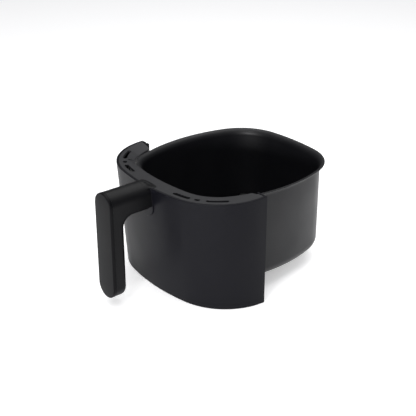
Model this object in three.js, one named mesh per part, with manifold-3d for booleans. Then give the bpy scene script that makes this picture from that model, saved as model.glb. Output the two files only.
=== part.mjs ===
// Pull-out drawer of an air fryer: a deep-drawn pan with a curved fascia, a vented
// top bezel and an L-shaped handle in front of it, and a crisper plate lying inside.
// Units are millimetres. +Z is up, -Y is towards the user and the handle, and the
// origin is the centre of the pan's flat base.
import * as THREE from 'three';
import { mergeVertices } from 'three/addons/utils/BufferGeometryUtils.js';
import Module from 'manifold-3d';

const wasm = await Module();
wasm.setup();

// ---- clearances ----
const GAP = 0.3; // between pieces that touch
const SCREW_GAP = 0.35; // all round a screw in its hole

// ---- pan ----
const PAN_HALF_WIDTH = 110;
const PAN_HALF_DEPTH = 119.8;
const PAN_HEIGHT = 128.2;
const PAN_SIDE_BOW = 227;
const PAN_END_BOW = 310;
const PAN_FRONT_CORNER = 55.6;
const PAN_BACK_CORNER = 69.4;
const PAN_SHEET = 1.2;
const RIM_OVERHANG = 6.5;
const RIM_DROP = 9;
const RIM_BEAD = 0.7; // radius of the rolled edge
const BASE_FILLET = 15;

// ---- fascia ----
const BEZEL_REACH = 28.2; // from the pan's rim to the front of the fascia
const SIDE_REACH = 15.6; // from the pan's rim to the side of the fascia
const FASCIA_BOW = 297;
const FASCIA_CORNER = 83;
const FASCIA_TOP = PAN_HEIGHT + 5.8;
const FASCIA_BOTTOM = -19.6;
const FASCIA_LEAN = 12.7; // how far the front comes in from top to bottom
const FASCIA_END_RIGHT = 70.3 - PAN_HALF_DEPTH;
const FASCIA_END_LEFT = 59.8 - PAN_HALF_DEPTH;
const FASCIA_WALL = 3;
const FASCIA_FLANGE = 2.5;
const FASCIA_DEPTH = 17; // how far the bottom and end flanges reach in
const COVER_WALL = 2.5;
const COVER_TOP = FASCIA_TOP - 15;

// ---- bezel ----
const LIP_RISE = 0.2;
const BEZEL_TOP = FASCIA_TOP - LIP_RISE;
const BEZEL_PLATE = 3.6;
const LIP_GAP = 3; // open gap round the pan's rim
const LIP_WIDTH = 4;
const SKIRT_WALL = 2.2;
const SKIRT_BOTTOM = FASCIA_TOP - 15;
const LIP_END = 8; // the lip stops this far short of the fascia's ends
const LIP_STEP = 5.5; // how much narrower the bezel is past the lip's ends
const SLOT_INSET = 11.5;
const SLOT_WIDTH = 5.5;
const SLOTS = [[43, 70], [76, 83.5], [91, 120]]; // start and end, measured along the bezel from its middle
const SIDE_SLOT = { along: 89, inset: [15.5, 21.5], width: 2.5 }; // a short one across the bezel, on the left
const BOSS_INSET = 8.6;
const BOSS_RADIUS = 3.6;
const BOSS_LENGTH = 9;
const BOSS_X = 28;
const BOSS_SIDE_Y = FASCIA_END_LEFT - 10;
const LUG_HALF_WIDTH = 5;
const LUG_THICKNESS = 2;

// ---- handle ----
const HANDLE_REACH = 64.5; // from the fascia's front to the front of the grip
const HANDLE_TOP = FASCIA_TOP + 6.6;
const HANDLE_BOTTOM = FASCIA_BOTTOM + 11.6;
const GRIP_WIDTH = 35;
const GRIP_THICKNESS = 22;
const GRIP_HEEL = 8; // radius of the grip's lower back edge
const ARM_HEIGHT = 34.6;
const ARM_UNDERSIDE = HANDLE_TOP - ARM_HEIGHT;
const ARM_INNER_RADIUS = 14;
const ARM_EDGE = 5;
const HANDLE_WALL = 3.2;
const WEB_THICKNESS = 14;
const COVER_THICKNESS = 5.5;
const COVER_BEVEL = 1.2;
const NECK_LENGTH = 3.2;
const NECK_INSET = 1.2;
const SADDLE_REACH = 16;
const SADDLE_EDGE = 0.9; // its thickness where it runs out on the bezel
const PAD_RADIUS = 16.5;
const PAD_CENTRE_Z = ARM_UNDERSIDE + 1;
const PAD_THICKNESS = 1.1;
const CORE_WIDTH = 14;
const CORE_THICKNESS = 3.5;
const CORE_Z = ARM_UNDERSIDE + 5;
const CORE_FOOT_Z = HANDLE_BOTTOM + 26;
const CORE_INSET = 4; // from the body's open front
const FLANGE_WIDTH = 32;
const FLANGE_HEIGHT = 24;
const FLANGE_THICKNESS = 3;
const FLANGE_RISE = 2; // of the flange's middle above the studs
const STUD_X = 10;
const STUD_DROP = 13; // from the top of the mount plate
const STUD_RADIUS = 2.4;
const STUD_LENGTH = 10.5;
const WASHER_RADIUS = 5.2;
const WASHER_THICKNESS = 1;
const NUT_RADIUS = 4.6;
const NUT_HEIGHT = 4;

// ---- bracket between pan and fascia ----
const PLATE_HALF_WIDTH = 60;
const PLATE_SHEET = 1.5;
const PLATE_BOTTOM = 20;
const PLATE_TOP = PAN_HEIGHT - 11;
const STANDOFF_X = 42;
const STANDOFF_Z = [PLATE_BOTTOM + 14, PLATE_TOP - 29];
const STANDOFF_RADIUS = 5;
const SCREW_RADIUS = 1.5;
const SCREW_HEAD_RADIUS = 3;
const SCREW_HEAD_HEIGHT = 2.4;
const SCREW_LENGTH = 8;

// ---- crisper plate ----
const CRISPER_GAP = 4; // from the plate's edge to the pan's wall
const CRISPER_Z = 22;
const CRISPER_SHEET = 1.5;
const CRISPER_FLANGE = 8;
const HOLE_RADIUS = 4;
const HOLE_PITCH = 25;
const LIFT_HOLE_RADIUS = 13;
const HOLE_MARGIN = 13;
const HOLE_FIELD_POWER = 2.6; // squareness of the area that holds the holes
const FOOT_RADIUS = 7;
const FOOT_WALL_GAP = 0.5;
const FOOT_LEG_RADIUS = 5.5;
const FOOT_LEG_OFFSET = 10.8;
const FOOT_UPPER_Z = CRISPER_Z - 9.7;
const FOOT_RISE = 3;

// ---- colours ----
function finish(color, roughness, metalness) {
  return new THREE.MeshStandardMaterial({ color, roughness, metalness });
}

const NON_STICK = finish(0x2b2c2e, 0.42, 0.3);
const SATIN_BLACK = finish(0x2c2d31, 0.5, 0);
const MATT_BLACK = finish(0x35363a, 0.62, 0);
const HANDLE_BLACK = finish(0x1d1d1f, 0.45, 0);
const STEEL = finish(0x9a9da1, 0.35, 0.9);
const SILICONE = finish(0x151515, 0.7, 0);

// ---- solids ----
function toSolid(geometry) {
  const bare = geometry.clone();
  bare.deleteAttribute('normal');
  bare.deleteAttribute('uv');
  const merged = mergeVertices(bare, 1e-4);
  return new wasm.Manifold(new wasm.Mesh({
    numProp: 3,
    vertProperties: new Float32Array(merged.attributes.position.array),
    triVerts: new Uint32Array(merged.index.array),
  }));
}

function toGeometry(solid) {
  const mesh = solid.getMesh();
  const geometry = new THREE.BufferGeometry();
  geometry.setAttribute('position', new THREE.BufferAttribute(mesh.vertProperties, 3));
  geometry.setIndex(new THREE.BufferAttribute(mesh.triVerts, 1));
  geometry.computeVertexNormals();
  return geometry;
}

const unite = (solids) => solids.reduce((whole, next) => whole.add(next));
const cut = (solid, tools) => tools.reduce((left, tool) => left.subtract(tool), solid);

/** Upright prism over an outline, from z = low to z = high. */
function prism(points, low, high) {
  const geometry = new THREE.ExtrudeGeometry(new THREE.Shape(points), {
    depth: high - low,
    bevelEnabled: false,
  });
  return toSolid(geometry.translate(0, 0, low));
}

/** Prism along Y over an outline drawn in X and Z, from y = near to y = far. */
function prismY(points, near, far) {
  const geometry = new THREE.ExtrudeGeometry(new THREE.Shape(points), {
    depth: far - near,
    bevelEnabled: false,
  });
  return toSolid(geometry.rotateX(Math.PI / 2).translate(0, far, 0));
}

/** Prism along X over an outline drawn in Y and Z, centred on x = 0. */
function prismX(points, width) {
  const geometry = new THREE.ExtrudeGeometry(new THREE.Shape(points), { depth: width, bevelEnabled: false });
  geometry.rotateX(Math.PI / 2).rotateZ(Math.PI / 2);
  return toSolid(geometry.translate(-width / 2, 0, 0));
}

function box(x0, x1, y0, y1, z0, z1) {
  const geometry = new THREE.BoxGeometry(x1 - x0, y1 - y0, z1 - z0);
  return toSolid(geometry.translate((x0 + x1) / 2, (y0 + y1) / 2, (z0 + z1) / 2));
}

/** Round bar along Z, or along Y when alongY is set. */
function bar(radius, x, y, z, length, alongY = false, sides = 16) {
  const geometry = new THREE.CylinderGeometry(radius, radius, length, sides);
  if (alongY) return toSolid(geometry.translate(x, y + length / 2, z));
  return toSolid(geometry.rotateX(Math.PI / 2).translate(x, y, z + length / 2));
}

/** Leans a solid the way the fascia leans: the lower it is, the further back. */
function lean(solid) {
  const slope = FASCIA_LEAN / (FASCIA_TOP - FASCIA_BOTTOM);
  return solid.warp((point) => {
    point[1] += slope * (FASCIA_TOP - point[2]);
  });
}

const leanAt = (z) => (FASCIA_LEAN * (FASCIA_TOP - z)) / (FASCIA_TOP - FASCIA_BOTTOM);

// ---- outlines ----
function arc(cx, cy, radius, from, to, steps) {
  const points = [];
  for (let i = 0; i <= steps; i += 1) {
    const angle = from + ((to - from) * i) / steps;
    points.push(new THREE.Vector2(cx + radius * Math.cos(angle), cy + radius * Math.sin(angle)));
  }
  return points;
}

/** Centre of the corner arc that touches a bowed side and a bowed end. */
function cornerCentre(halfWidth, halfDepth, sideBow, endBow, corner) {
  const side = new THREE.Vector2(halfWidth - sideBow, 0);
  const end = new THREE.Vector2(0, halfDepth - endBow);
  const reachSide = sideBow - corner;
  const reachEnd = endBow - corner;
  const apart = end.clone().sub(side);
  const distance = apart.length();
  const along = (reachSide ** 2 - reachEnd ** 2 + distance ** 2) / (2 * distance);
  const across = Math.sqrt(reachSide ** 2 - along ** 2);
  const unit = apart.divideScalar(distance);
  return new THREE.Vector2(
    side.x + unit.x * along - unit.y * across,
    side.y + unit.y * along + unit.x * across,
  );
}

/** A quarter of a rounded rectangle with bowed sides, from its side to its end. */
function bowedQuarter(halfWidth, halfDepth, sideBow, endBow, corner) {
  const centre = cornerCentre(halfWidth, halfDepth, sideBow, endBow, corner);
  const turnSide = Math.atan2(centre.y, centre.x - (halfWidth - sideBow));
  const turnEnd = Math.atan2(centre.y - (halfDepth - endBow), centre.x);
  return [
    ...arc(halfWidth - sideBow, 0, sideBow, 0, turnSide, 4),
    ...arc(centre.x, centre.y, corner, turnSide, turnEnd, 7).slice(1),
    ...arc(0, halfDepth - endBow, endBow, turnEnd, Math.PI / 2, 3).slice(1),
  ];
}

/** The pan's outline, counter-clockwise, moved outwards by offset. */
function panOutline(offset) {
  const quarter = (corner) => bowedQuarter(
    PAN_HALF_WIDTH + offset,
    PAN_HALF_DEPTH + offset,
    PAN_SIDE_BOW + offset,
    PAN_END_BOW + offset,
    corner + offset,
  );
  const flip = (points, sx, sy) => points.map((p) => new THREE.Vector2(p.x * sx, p.y * sy));
  const back = quarter(PAN_BACK_CORNER);
  const front = quarter(PAN_FRONT_CORNER);
  return [
    ...back,
    ...flip(back, -1, 1).reverse().slice(1),
    ...flip(front, -1, -1).slice(1),
    ...flip(front, 1, -1).reverse().slice(1, -1),
  ];
}

const FASCIA_HALF_WIDTH = PAN_HALF_WIDTH + SIDE_REACH;
const FASCIA_FRONT = -(PAN_HALF_DEPTH + BEZEL_REACH);
const BOW_CENTRE_Y = FASCIA_FRONT + FASCIA_BOW;
const CORNER_X = FASCIA_HALF_WIDTH - FASCIA_CORNER;
const CORNER_Y = BOW_CENTRE_Y - Math.sqrt((FASCIA_BOW - FASCIA_CORNER) ** 2 - CORNER_X ** 2);

/** The fascia's line seen from above, from left round the front to right. */
function fasciaLine(inset) {
  const turn = Math.atan2(CORNER_Y - BOW_CENTRE_Y, CORNER_X);
  const half = [
    ...arc(0, BOW_CENTRE_Y, FASCIA_BOW - inset, -Math.PI / 2, turn, 6),
    ...arc(CORNER_X, CORNER_Y, FASCIA_CORNER - inset, turn, 0, 10).slice(1),
    new THREE.Vector2(FASCIA_HALF_WIDTH - inset, FASCIA_END_RIGHT + 5),
  ];
  return [...half.map((p) => new THREE.Vector2(-p.x, p.y)).reverse(), ...half.slice(1)];
}

/** Cuts a piece of the fascia off square at its left and right ends. */
function trimEnds(solid, low, high, endInset) {
  const far = FASCIA_HALF_WIDTH * 2;
  const right = box(0, far, FASCIA_END_RIGHT - endInset, far, low - 1, high + 1);
  const left = box(-far, 1, FASCIA_END_LEFT - endInset, far, low - 1, high + 1);
  return cut(solid, [right, left]);
}

/** A curved wall of the fascia between two insets. */
function fasciaBand(outer, inner, low, high, endInset = 0) {
  const points = [...fasciaLine(outer), ...fasciaLine(inner).reverse()];
  return trimEnds(lean(prism(points, low, high)), low, high, endInset);
}

/** Everything inside the fascia's line. */
function fasciaFill(inset, low, high, endInset = 0) {
  return trimEnds(lean(prism(fasciaLine(inset), low, high)), low, high, endInset);
}

/** A closed skin through rings of equal length, capped flat at both ends. */
function loft(rings) {
  const count = rings[0].length;
  const positions = rings.flat().flatMap((p) => [p.x, p.y, p.z]);
  const first = rings[0][0].z;
  const last = rings[rings.length - 1][0].z;
  positions.push(0, 0, first, 0, 0, last);
  const lowCentre = rings.length * count;
  const index = [];
  for (let j = 0; j < count; j += 1) {
    const next = (j + 1) % count;
    index.push(lowCentre, next, j);
    for (let i = 0; i < rings.length - 1; i += 1) {
      const here = i * count;
      const above = here + count;
      index.push(here + j, here + next, above + next, here + j, above + next, above + j);
    }
    const top = (rings.length - 1) * count;
    index.push(lowCentre + 1, top + j, top + next);
  }
  const geometry = new THREE.BufferGeometry();
  geometry.setAttribute('position', new THREE.Float32BufferAttribute(positions, 3));
  geometry.setIndex(index);
  return geometry;
}

// ---- pan ----
/** The pan's side profile as [inset from the rim, height], from outer base to inner base. */
function panProfile() {
  const inner = RIM_OVERHANG + PAN_SHEET;
  const profile = [];
  for (let i = 0; i <= 4; i += 1) {
    const angle = (Math.PI / 2) * (i / 4);
    profile.push([
      RIM_OVERHANG + BASE_FILLET * (1 - Math.sin(angle)),
      BASE_FILLET * (1 - Math.cos(angle)),
    ]);
  }
  const flare = PAN_HEIGHT - RIM_DROP;
  for (let i = 0; i <= 4; i += 1) {
    const angle = (Math.PI / 2) * (i / 4);
    profile.push([
      RIM_OVERHANG - (RIM_OVERHANG - RIM_BEAD) * (1 - Math.cos(angle)),
      flare + (RIM_DROP - 2 * RIM_BEAD) * Math.sin(angle),
    ]);
  }
  profile.push([0, PAN_HEIGHT - 1.5 * RIM_BEAD]);
  profile.push([0, PAN_HEIGHT - 0.5 * RIM_BEAD]);
  for (let i = 4; i >= 0; i -= 1) {
    const angle = (Math.PI / 2) * (i / 4);
    profile.push([
      inner - (inner - RIM_BEAD) * (1 - Math.cos(angle)),
      flare + RIM_DROP * Math.sin(angle),
    ]);
  }
  const fillet = BASE_FILLET - PAN_SHEET;
  for (let i = 0; i <= 4; i += 1) {
    const angle = (Math.PI / 2) * (i / 4);
    profile.push([
      inner + fillet * (1 - Math.cos(angle)),
      PAN_SHEET + fillet * (1 - Math.sin(angle)),
    ]);
  }
  return profile;
}

function pan() {
  const ring = ([inset, z]) => panOutline(-inset).map((p) => new THREE.Vector3(p.x, p.y, z));
  return loft(panProfile().map(ring));
}

// ---- bracket ----
const PLATE_BACK = -RIM_OVERHANG + GAP;
const PLATE_FRONT = PLATE_BACK + PLATE_SHEET;
const PLATE_FACE_Y = -(PAN_HALF_DEPTH + PLATE_FRONT);
const STUD_Z = PLATE_TOP - STUD_DROP;

function panMountPlate() {
  const skin = prism(panOutline(PLATE_FRONT), PLATE_BOTTOM, PLATE_TOP)
    .subtract(prism(panOutline(PLATE_BACK), PLATE_BOTTOM - 1, PLATE_TOP + 1));
  const front = box(-PLATE_HALF_WIDTH, PLATE_HALF_WIDTH, FASCIA_FRONT, -PAN_HALF_DEPTH / 2, 0, FASCIA_TOP);
  const studs = [-1, 1].map((side) => bar(
    STUD_RADIUS, side * STUD_X, PLATE_FACE_Y - STUD_LENGTH, STUD_Z, STUD_LENGTH + PLATE_SHEET / 2, true,
  ));
  return toGeometry(unite([skin.intersect(front), ...studs]));
}

const COVER_BACK = FASCIA_DEPTH - GAP;
const COVER_FRONT = COVER_BACK - COVER_WALL;

const standoffPlaces = STANDOFF_Z.flatMap((z) => [-1, 1].map((side) => ({ x: side * STANDOFF_X, z })));

/** y of the inner cover's front face in front of a standoff. */
function coverFaceY(x, z) {
  const radius = FASCIA_BOW - COVER_FRONT;
  return BOW_CENTRE_Y - Math.sqrt(radius ** 2 - x ** 2) + leanAt(z);
}

function standoff({ x, z }) {
  const rod = bar(STANDOFF_RADIUS, x, FASCIA_FRONT, z, BEZEL_REACH + RIM_OVERHANG, true);
  const room = fasciaFill(COVER_BACK + GAP, FASCIA_BOTTOM, COVER_TOP);
  const bore = bar(SCREW_RADIUS + SCREW_GAP, x, coverFaceY(x, z), z, SCREW_LENGTH, true, 12);
  return toGeometry(rod.intersect(room)
    .subtract(prism(panOutline(PLATE_FRONT + GAP), 0, FASCIA_TOP))
    .subtract(bore));
}

/** A pan-head screw whose head's underside is at the given place; it points up or along +Y. */
function screw(x, y, z, length, alongY) {
  const geometry = new THREE.LatheGeometry([
    new THREE.Vector2(0, -SCREW_HEAD_HEIGHT),
    new THREE.Vector2(SCREW_HEAD_RADIUS * 0.75, -SCREW_HEAD_HEIGHT),
    new THREE.Vector2(SCREW_HEAD_RADIUS, -SCREW_HEAD_HEIGHT * 0.6),
    new THREE.Vector2(SCREW_HEAD_RADIUS, 0),
    new THREE.Vector2(SCREW_RADIUS, 0),
    new THREE.Vector2(SCREW_RADIUS, length - 1),
    new THREE.Vector2(0, length),
  ], 12);
  if (!alongY) geometry.rotateX(Math.PI / 2);
  return geometry.translate(x, y, z);
}

function fasciaScrew({ x, z }) {
  return screw(x, coverFaceY(x, z) - 2 * GAP, z, SCREW_LENGTH - 1, true);
}

// ---- fascia ----
const WINDOW = { halfWidth: 12, low: CORE_Z - 13, high: CORE_Z + 8 };
const windowBox = (grow = 0) => box(
  -WINDOW.halfWidth - grow, WINDOW.halfWidth + grow,
  FASCIA_FRONT - 5, -PAN_HALF_DEPTH,
  WINDOW.low - grow, WINDOW.high + grow,
);

function fasciaOuterShell() {
  const block = fasciaBand(0, FASCIA_DEPTH, FASCIA_BOTTOM, FASCIA_TOP);
  const pocket = fasciaBand(
    FASCIA_WALL, FASCIA_DEPTH + FASCIA_WALL, FASCIA_BOTTOM + FASCIA_FLANGE, FASCIA_TOP + 1, FASCIA_FLANGE,
  );
  return toGeometry(cut(block, [pocket, windowBox()]));
}

const bossPlaces = [-1, 1].flatMap((side) => [
  { x: side * BOSS_X, y: BOW_CENTRE_Y - Math.sqrt((FASCIA_BOW - BOSS_INSET) ** 2 - BOSS_X ** 2) },
  { x: side * (FASCIA_HALF_WIDTH - BOSS_INSET), y: BOSS_SIDE_Y },
]);
const LUG_TOP = BEZEL_TOP - BEZEL_PLATE - BOSS_LENGTH - GAP;

function lug({ x, y }) {
  const sideways = Math.abs(x) > FASCIA_HALF_WIDTH - FASCIA_DEPTH;
  const reach = COVER_FRONT - BOSS_INSET + COVER_WALL / 2;
  const low = LUG_TOP - LUG_THICKNESS;
  const ear = sideways
    ? box(x - BOSS_RADIUS, x + BOSS_RADIUS, y - LUG_HALF_WIDTH, y + LUG_HALF_WIDTH, low, LUG_TOP)
    : box(x - LUG_HALF_WIDTH, x + LUG_HALF_WIDTH, y - BOSS_RADIUS, y + reach, low, LUG_TOP);
  if (!sideways) return ear;
  const root = Math.sign(x) > 0 ? [x - reach, x] : [x, x + reach];
  return ear.add(box(root[0], root[1], y - LUG_HALF_WIDTH, y + LUG_HALF_WIDTH, low, LUG_TOP));
}

function fasciaInnerCover() {
  const endInset = FASCIA_FLANGE + GAP;
  const wall = fasciaBand(COVER_FRONT, COVER_BACK, FASCIA_BOTTOM + endInset, COVER_TOP, endInset);
  const holes = standoffPlaces.map(({ x, z }) => bar(
    SCREW_RADIUS + SCREW_GAP, x, coverFaceY(x, z) - 5, z, 15, true, 12,
  ));
  const lugHoles = bossPlaces.map(({ x, y }) => bar(
    SCREW_RADIUS + SCREW_GAP, x, y, LUG_TOP - 5, 10, false, 12,
  ));
  return toGeometry(cut(unite([wall, ...bossPlaces.map(lug)]), [...holes, ...lugHoles, windowBox(2)]));
}

// ---- bezel ----
/** Point and heading on the slots' path at a distance along it from the bezel's middle. */
function slotPath(side, distance) {
  const bow = FASCIA_BOW - SLOT_INSET;
  const corner = FASCIA_CORNER - SLOT_INSET;
  const turn = Math.atan2(CORNER_X, BOW_CENTRE_Y - CORNER_Y);
  const onBow = distance < bow * turn;
  const angle = onBow ? distance / bow : turn + (distance - bow * turn) / corner;
  const centre = onBow ? [0, BOW_CENTRE_Y] : [CORNER_X, CORNER_Y];
  const radius = onBow ? bow : corner;
  return {
    x: side * (centre[0] + radius * Math.sin(angle)),
    y: centre[1] - radius * Math.cos(angle),
    heading: side > 0 ? angle : Math.PI - angle,
  };
}

/** A slot with round ends that follows the bezel between two distances from its middle. */
function slot(side, from, to) {
  const half = SLOT_WIDTH / 2;
  const edges = { left: [], right: [] };
  const steps = Math.max(2, Math.round((to - from) / 7));
  for (let i = 0; i <= steps; i += 1) {
    const along = from + half + ((to - from - SLOT_WIDTH) * i) / steps;
    const { x, y, heading } = slotPath(side, along);
    const across = new THREE.Vector2(-Math.sin(heading), Math.cos(heading)).multiplyScalar(half);
    edges.left.push(new THREE.Vector2(x, y).add(across));
    edges.right.push(new THREE.Vector2(x, y).sub(across));
  }
  const start = slotPath(side, from + half);
  const end = slotPath(side, to - half);
  const roundEnd = (at, from) => arc(at.x, at.y, half, from, from + Math.PI, 5).slice(1, -1);
  const endCap = roundEnd(end, end.heading - Math.PI / 2);
  const startCap = roundEnd(start, start.heading + Math.PI / 2);
  const points = [...edges.right, ...endCap, ...edges.left.reverse(), ...startCap];
  return prism(points, BEZEL_TOP - 3 * BEZEL_PLATE, FASCIA_TOP + 2);
}

/** The short slot that runs across the bezel's left side. */
function sideSlot() {
  const { x, y, heading } = slotPath(-1, SIDE_SLOT.along);
  const inwards = new THREE.Vector2(Math.sin(heading), -Math.cos(heading));
  const [near, far] = SIDE_SLOT.inset.map((inset) => inset - SLOT_INSET);
  const half = SIDE_SLOT.width / 2;
  const turn = Math.atan2(inwards.y, inwards.x);
  const end = (distance, from) => arc(
    x + inwards.x * distance, y + inwards.y * distance, half, from, from + Math.PI, 5,
  );
  const points = [...end(far - half, turn - Math.PI / 2), ...end(near + half, turn + Math.PI / 2)];
  return prism(points, BEZEL_TOP - 3 * BEZEL_PLATE, FASCIA_TOP + 2);
}

function bezel() {
  const plateBottom = BEZEL_TOP - BEZEL_PLATE;
  const endInset = FASCIA_FLANGE + GAP;
  const edge = FASCIA_WALL + GAP;
  const hollow = prism(panOutline(LIP_GAP), SKIRT_BOTTOM - 1, FASCIA_TOP + 2);
  const plate = fasciaFill(edge, plateBottom, BEZEL_TOP, endInset);
  const lipLine = fasciaFill(edge, SKIRT_BOTTOM, BEZEL_TOP + LIP_RISE, LIP_END);
  const lip = prism(panOutline(LIP_GAP + LIP_WIDTH), plateBottom, BEZEL_TOP + LIP_RISE);
  const skirt = prism(panOutline(LIP_GAP + SKIRT_WALL), SKIRT_BOTTOM, BEZEL_TOP);
  const step = prism(panOutline(LIP_GAP + LIP_STEP), SKIRT_BOTTOM - 1, FASCIA_TOP + 2)
    .subtract(fasciaFill(0, SKIRT_BOTTOM - 2, FASCIA_TOP + 3, LIP_END));
  const bosses = bossPlaces.map(({ x, y }) => bar(
    BOSS_RADIUS, x, y, plateBottom - BOSS_LENGTH, BOSS_LENGTH + 1,
  ));
  const bores = bossPlaces.map(({ x, y }) => bar(
    SCREW_RADIUS + SCREW_GAP, x, y, plateBottom - BOSS_LENGTH - 1, BOSS_LENGTH, false, 12,
  ));
  const slots = [-1, 1].flatMap((side) => SLOTS.map(([from, to]) => slot(side, from, to)));
  const body = unite([plate, lip.intersect(lipLine), skirt.intersect(lipLine), ...bosses]);
  return toGeometry(cut(body, [hollow, step, ...bores, ...slots, sideSlot()]));
}

function bezelScrew({ x, y }) {
  return screw(x, y, LUG_TOP - LUG_THICKNESS - GAP, SCREW_LENGTH, false);
}

// ---- handle ----
const PAD_FACE_INSET = -(GAP + PAD_THICKNESS);
const HANDLE_FRONT = FASCIA_FRONT - HANDLE_REACH;
const ARM_BACK = FASCIA_FRONT - GAP - PAD_THICKNESS - NECK_LENGTH;
const GRIP_BACK = HANDLE_FRONT + GRIP_THICKNESS;
const BODY_FRONT = HANDLE_FRONT + COVER_THICKNESS + GAP;
const CORE_FRONT = BODY_FRONT + CORE_INSET;

const handleScrewPlaces = [HANDLE_BOTTOM + 45, ARM_UNDERSIDE - 15];

/** The pill shape of the grip seen from the front. */
function pill(inset, low = HANDLE_BOTTOM, high = HANDLE_TOP) {
  const radius = GRIP_WIDTH / 2 - inset;
  const lowCentre = low + inset + radius;
  const highCentre = high - inset - radius;
  return [
    ...arc(0, lowCentre, radius, Math.PI, 2 * Math.PI, 12),
    ...arc(0, highCentre, radius, 0, Math.PI, 12),
  ];
}

/** The handle seen from the side: the arm, the grip and the curve between them. */
function handleSide() {
  const bend = ARM_INNER_RADIUS;
  return [
    new THREE.Vector2(BODY_FRONT, HANDLE_BOTTOM),
    ...arc(GRIP_BACK - GRIP_HEEL, HANDLE_BOTTOM + GRIP_HEEL, GRIP_HEEL, -Math.PI / 2, 0, 4),
    ...arc(GRIP_BACK + bend, ARM_UNDERSIDE - bend, bend, Math.PI, Math.PI / 2, 6),
    new THREE.Vector2(ARM_BACK, ARM_UNDERSIDE),
    new THREE.Vector2(ARM_BACK, HANDLE_TOP),
    new THREE.Vector2(BODY_FRONT, HANDLE_TOP),
  ];
}

/** The arm's section, arched like the top of the grip, moved in by inset. */
function armSection(inset) {
  const half = GRIP_WIDTH / 2 - inset;
  const low = ARM_UNDERSIDE + inset;
  const edge = ARM_EDGE - inset;
  return [
    ...arc(-half + edge, low + edge, edge, Math.PI, 1.5 * Math.PI, 3),
    ...arc(half - edge, low + edge, edge, -Math.PI / 2, 0, 3),
    ...arc(0, HANDLE_TOP - GRIP_WIDTH / 2, half, 0, Math.PI, 12),
  ];
}

/** The saddle seen from the side: it carries the arm's arch on over the fascia and runs out on the bezel. */
function saddleSide() {
  const low = FASCIA_TOP + GAP;
  const fall = HANDLE_TOP - low - SADDLE_EDGE;
  const slope = [];
  for (let i = 0; i <= 6; i += 1) {
    const rise = (1 - Math.cos((Math.PI * i) / 6)) / 2;
    slope.push(new THREE.Vector2(ARM_BACK + SADDLE_REACH * (1 - i / 6), low + SADDLE_EDGE + fall * rise));
  }
  return [
    new THREE.Vector2(ARM_BACK - 1, low),
    new THREE.Vector2(ARM_BACK + SADDLE_REACH, low),
    ...slope,
    new THREE.Vector2(ARM_BACK - 1, HANDLE_TOP),
  ];
}

function coreRoom(grow) {
  const half = CORE_WIDTH / 2 + grow;
  return [
    box(-half, half, CORE_FRONT - grow, FASCIA_FRONT + 10, CORE_Z - grow, CORE_Z + CORE_THICKNESS + grow),
    box(-half, half, CORE_FRONT - grow, CORE_FRONT + CORE_THICKNESS + grow, CORE_FOOT_Z - grow, CORE_Z + 1),
  ];
}

function handleBody() {
  const grip = prismX(handleSide(), GRIP_WIDTH + 2).intersect(prismY(pill(0), BODY_FRONT - 1, GRIP_BACK));
  const arm = prismX(handleSide(), GRIP_WIDTH + 2).intersect(prismY(armSection(0), GRIP_BACK - 1, ARM_BACK));
  const saddle = prismX(saddleSide(), GRIP_WIDTH + 2)
    .intersect(prismY(pill(0), ARM_BACK - 1, ARM_BACK + SADDLE_REACH));
  const behindCore = CORE_FRONT + CORE_THICKNESS;
  const pocket = prismY(pill(HANDLE_WALL), BODY_FRONT - 1, behindCore + CORE_INSET);
  const webs = handleScrewPlaces.map((z) => box(
    -GRIP_WIDTH, GRIP_WIDTH, behindCore + GAP, GRIP_BACK, z - WEB_THICKNESS / 2, z + WEB_THICKNESS / 2,
  ));
  const bores = handleScrewPlaces.map((z) => bar(
    SCREW_RADIUS + SCREW_GAP, 0, CORE_FRONT + CORE_THICKNESS, z, SCREW_LENGTH, true, 12,
  ));
  const solid = unite([grip, arm, saddle]);
  return toGeometry(cut(solid, [cut(pocket, webs), ...coreRoom(GAP), ...bores]));
}

function handleCore() {
  const flangeBack = PLATE_FACE_Y - GAP;
  const flangeFront = flangeBack - FLANGE_THICKNESS;
  const flange = box(
    -FLANGE_WIDTH / 2, FLANGE_WIDTH / 2, flangeFront, flangeBack,
    STUD_Z - FLANGE_HEIGHT / 2 + FLANGE_RISE, STUD_Z + FLANGE_HEIGHT / 2 + FLANGE_RISE,
  );
  const half = CORE_WIDTH / 2;
  const strap = box(-half, half, CORE_FRONT, flangeBack, CORE_Z, CORE_Z + CORE_THICKNESS)
    .add(box(-half, half, CORE_FRONT, CORE_FRONT + CORE_THICKNESS, CORE_FOOT_Z, CORE_Z + 1));
  const studHoles = [-1, 1].map((side) => bar(
    STUD_RADIUS + SCREW_GAP, side * STUD_X, flangeFront - 1, STUD_Z, FLANGE_THICKNESS + 2, true, 12,
  ));
  const screwHoles = handleScrewPlaces.map((z) => bar(
    SCREW_RADIUS + SCREW_GAP, 0, CORE_FRONT - 1, z, CORE_THICKNESS + 2, true, 12,
  ));
  return toGeometry(cut(flange.add(strap), [...studHoles, ...screwHoles]));
}

function ring(inner, outer, length, sides) {
  return new THREE.LatheGeometry([
    new THREE.Vector2(inner, 0),
    new THREE.Vector2(outer, 0),
    new THREE.Vector2(outer, length),
    new THREE.Vector2(inner, length),
    new THREE.Vector2(inner, 0),
  ], sides);
}

const WASHER_Y = PLATE_FACE_Y - GAP - FLANGE_THICKNESS - GAP - WASHER_THICKNESS;
const NUT_Y = WASHER_Y - GAP - NUT_HEIGHT;
const BORE_RADIUS = STUD_RADIUS + SCREW_GAP;

function washer(side) {
  return ring(BORE_RADIUS, WASHER_RADIUS, WASHER_THICKNESS, 16).translate(side * STUD_X, WASHER_Y, STUD_Z);
}

function nut(side) {
  const bore = bar(BORE_RADIUS, side * STUD_X, NUT_Y - 1, STUD_Z, NUT_HEIGHT + 2, true, 12);
  return toGeometry(bar(NUT_RADIUS, side * STUD_X, NUT_Y, STUD_Z, NUT_HEIGHT, true, 6).subtract(bore));
}

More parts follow.
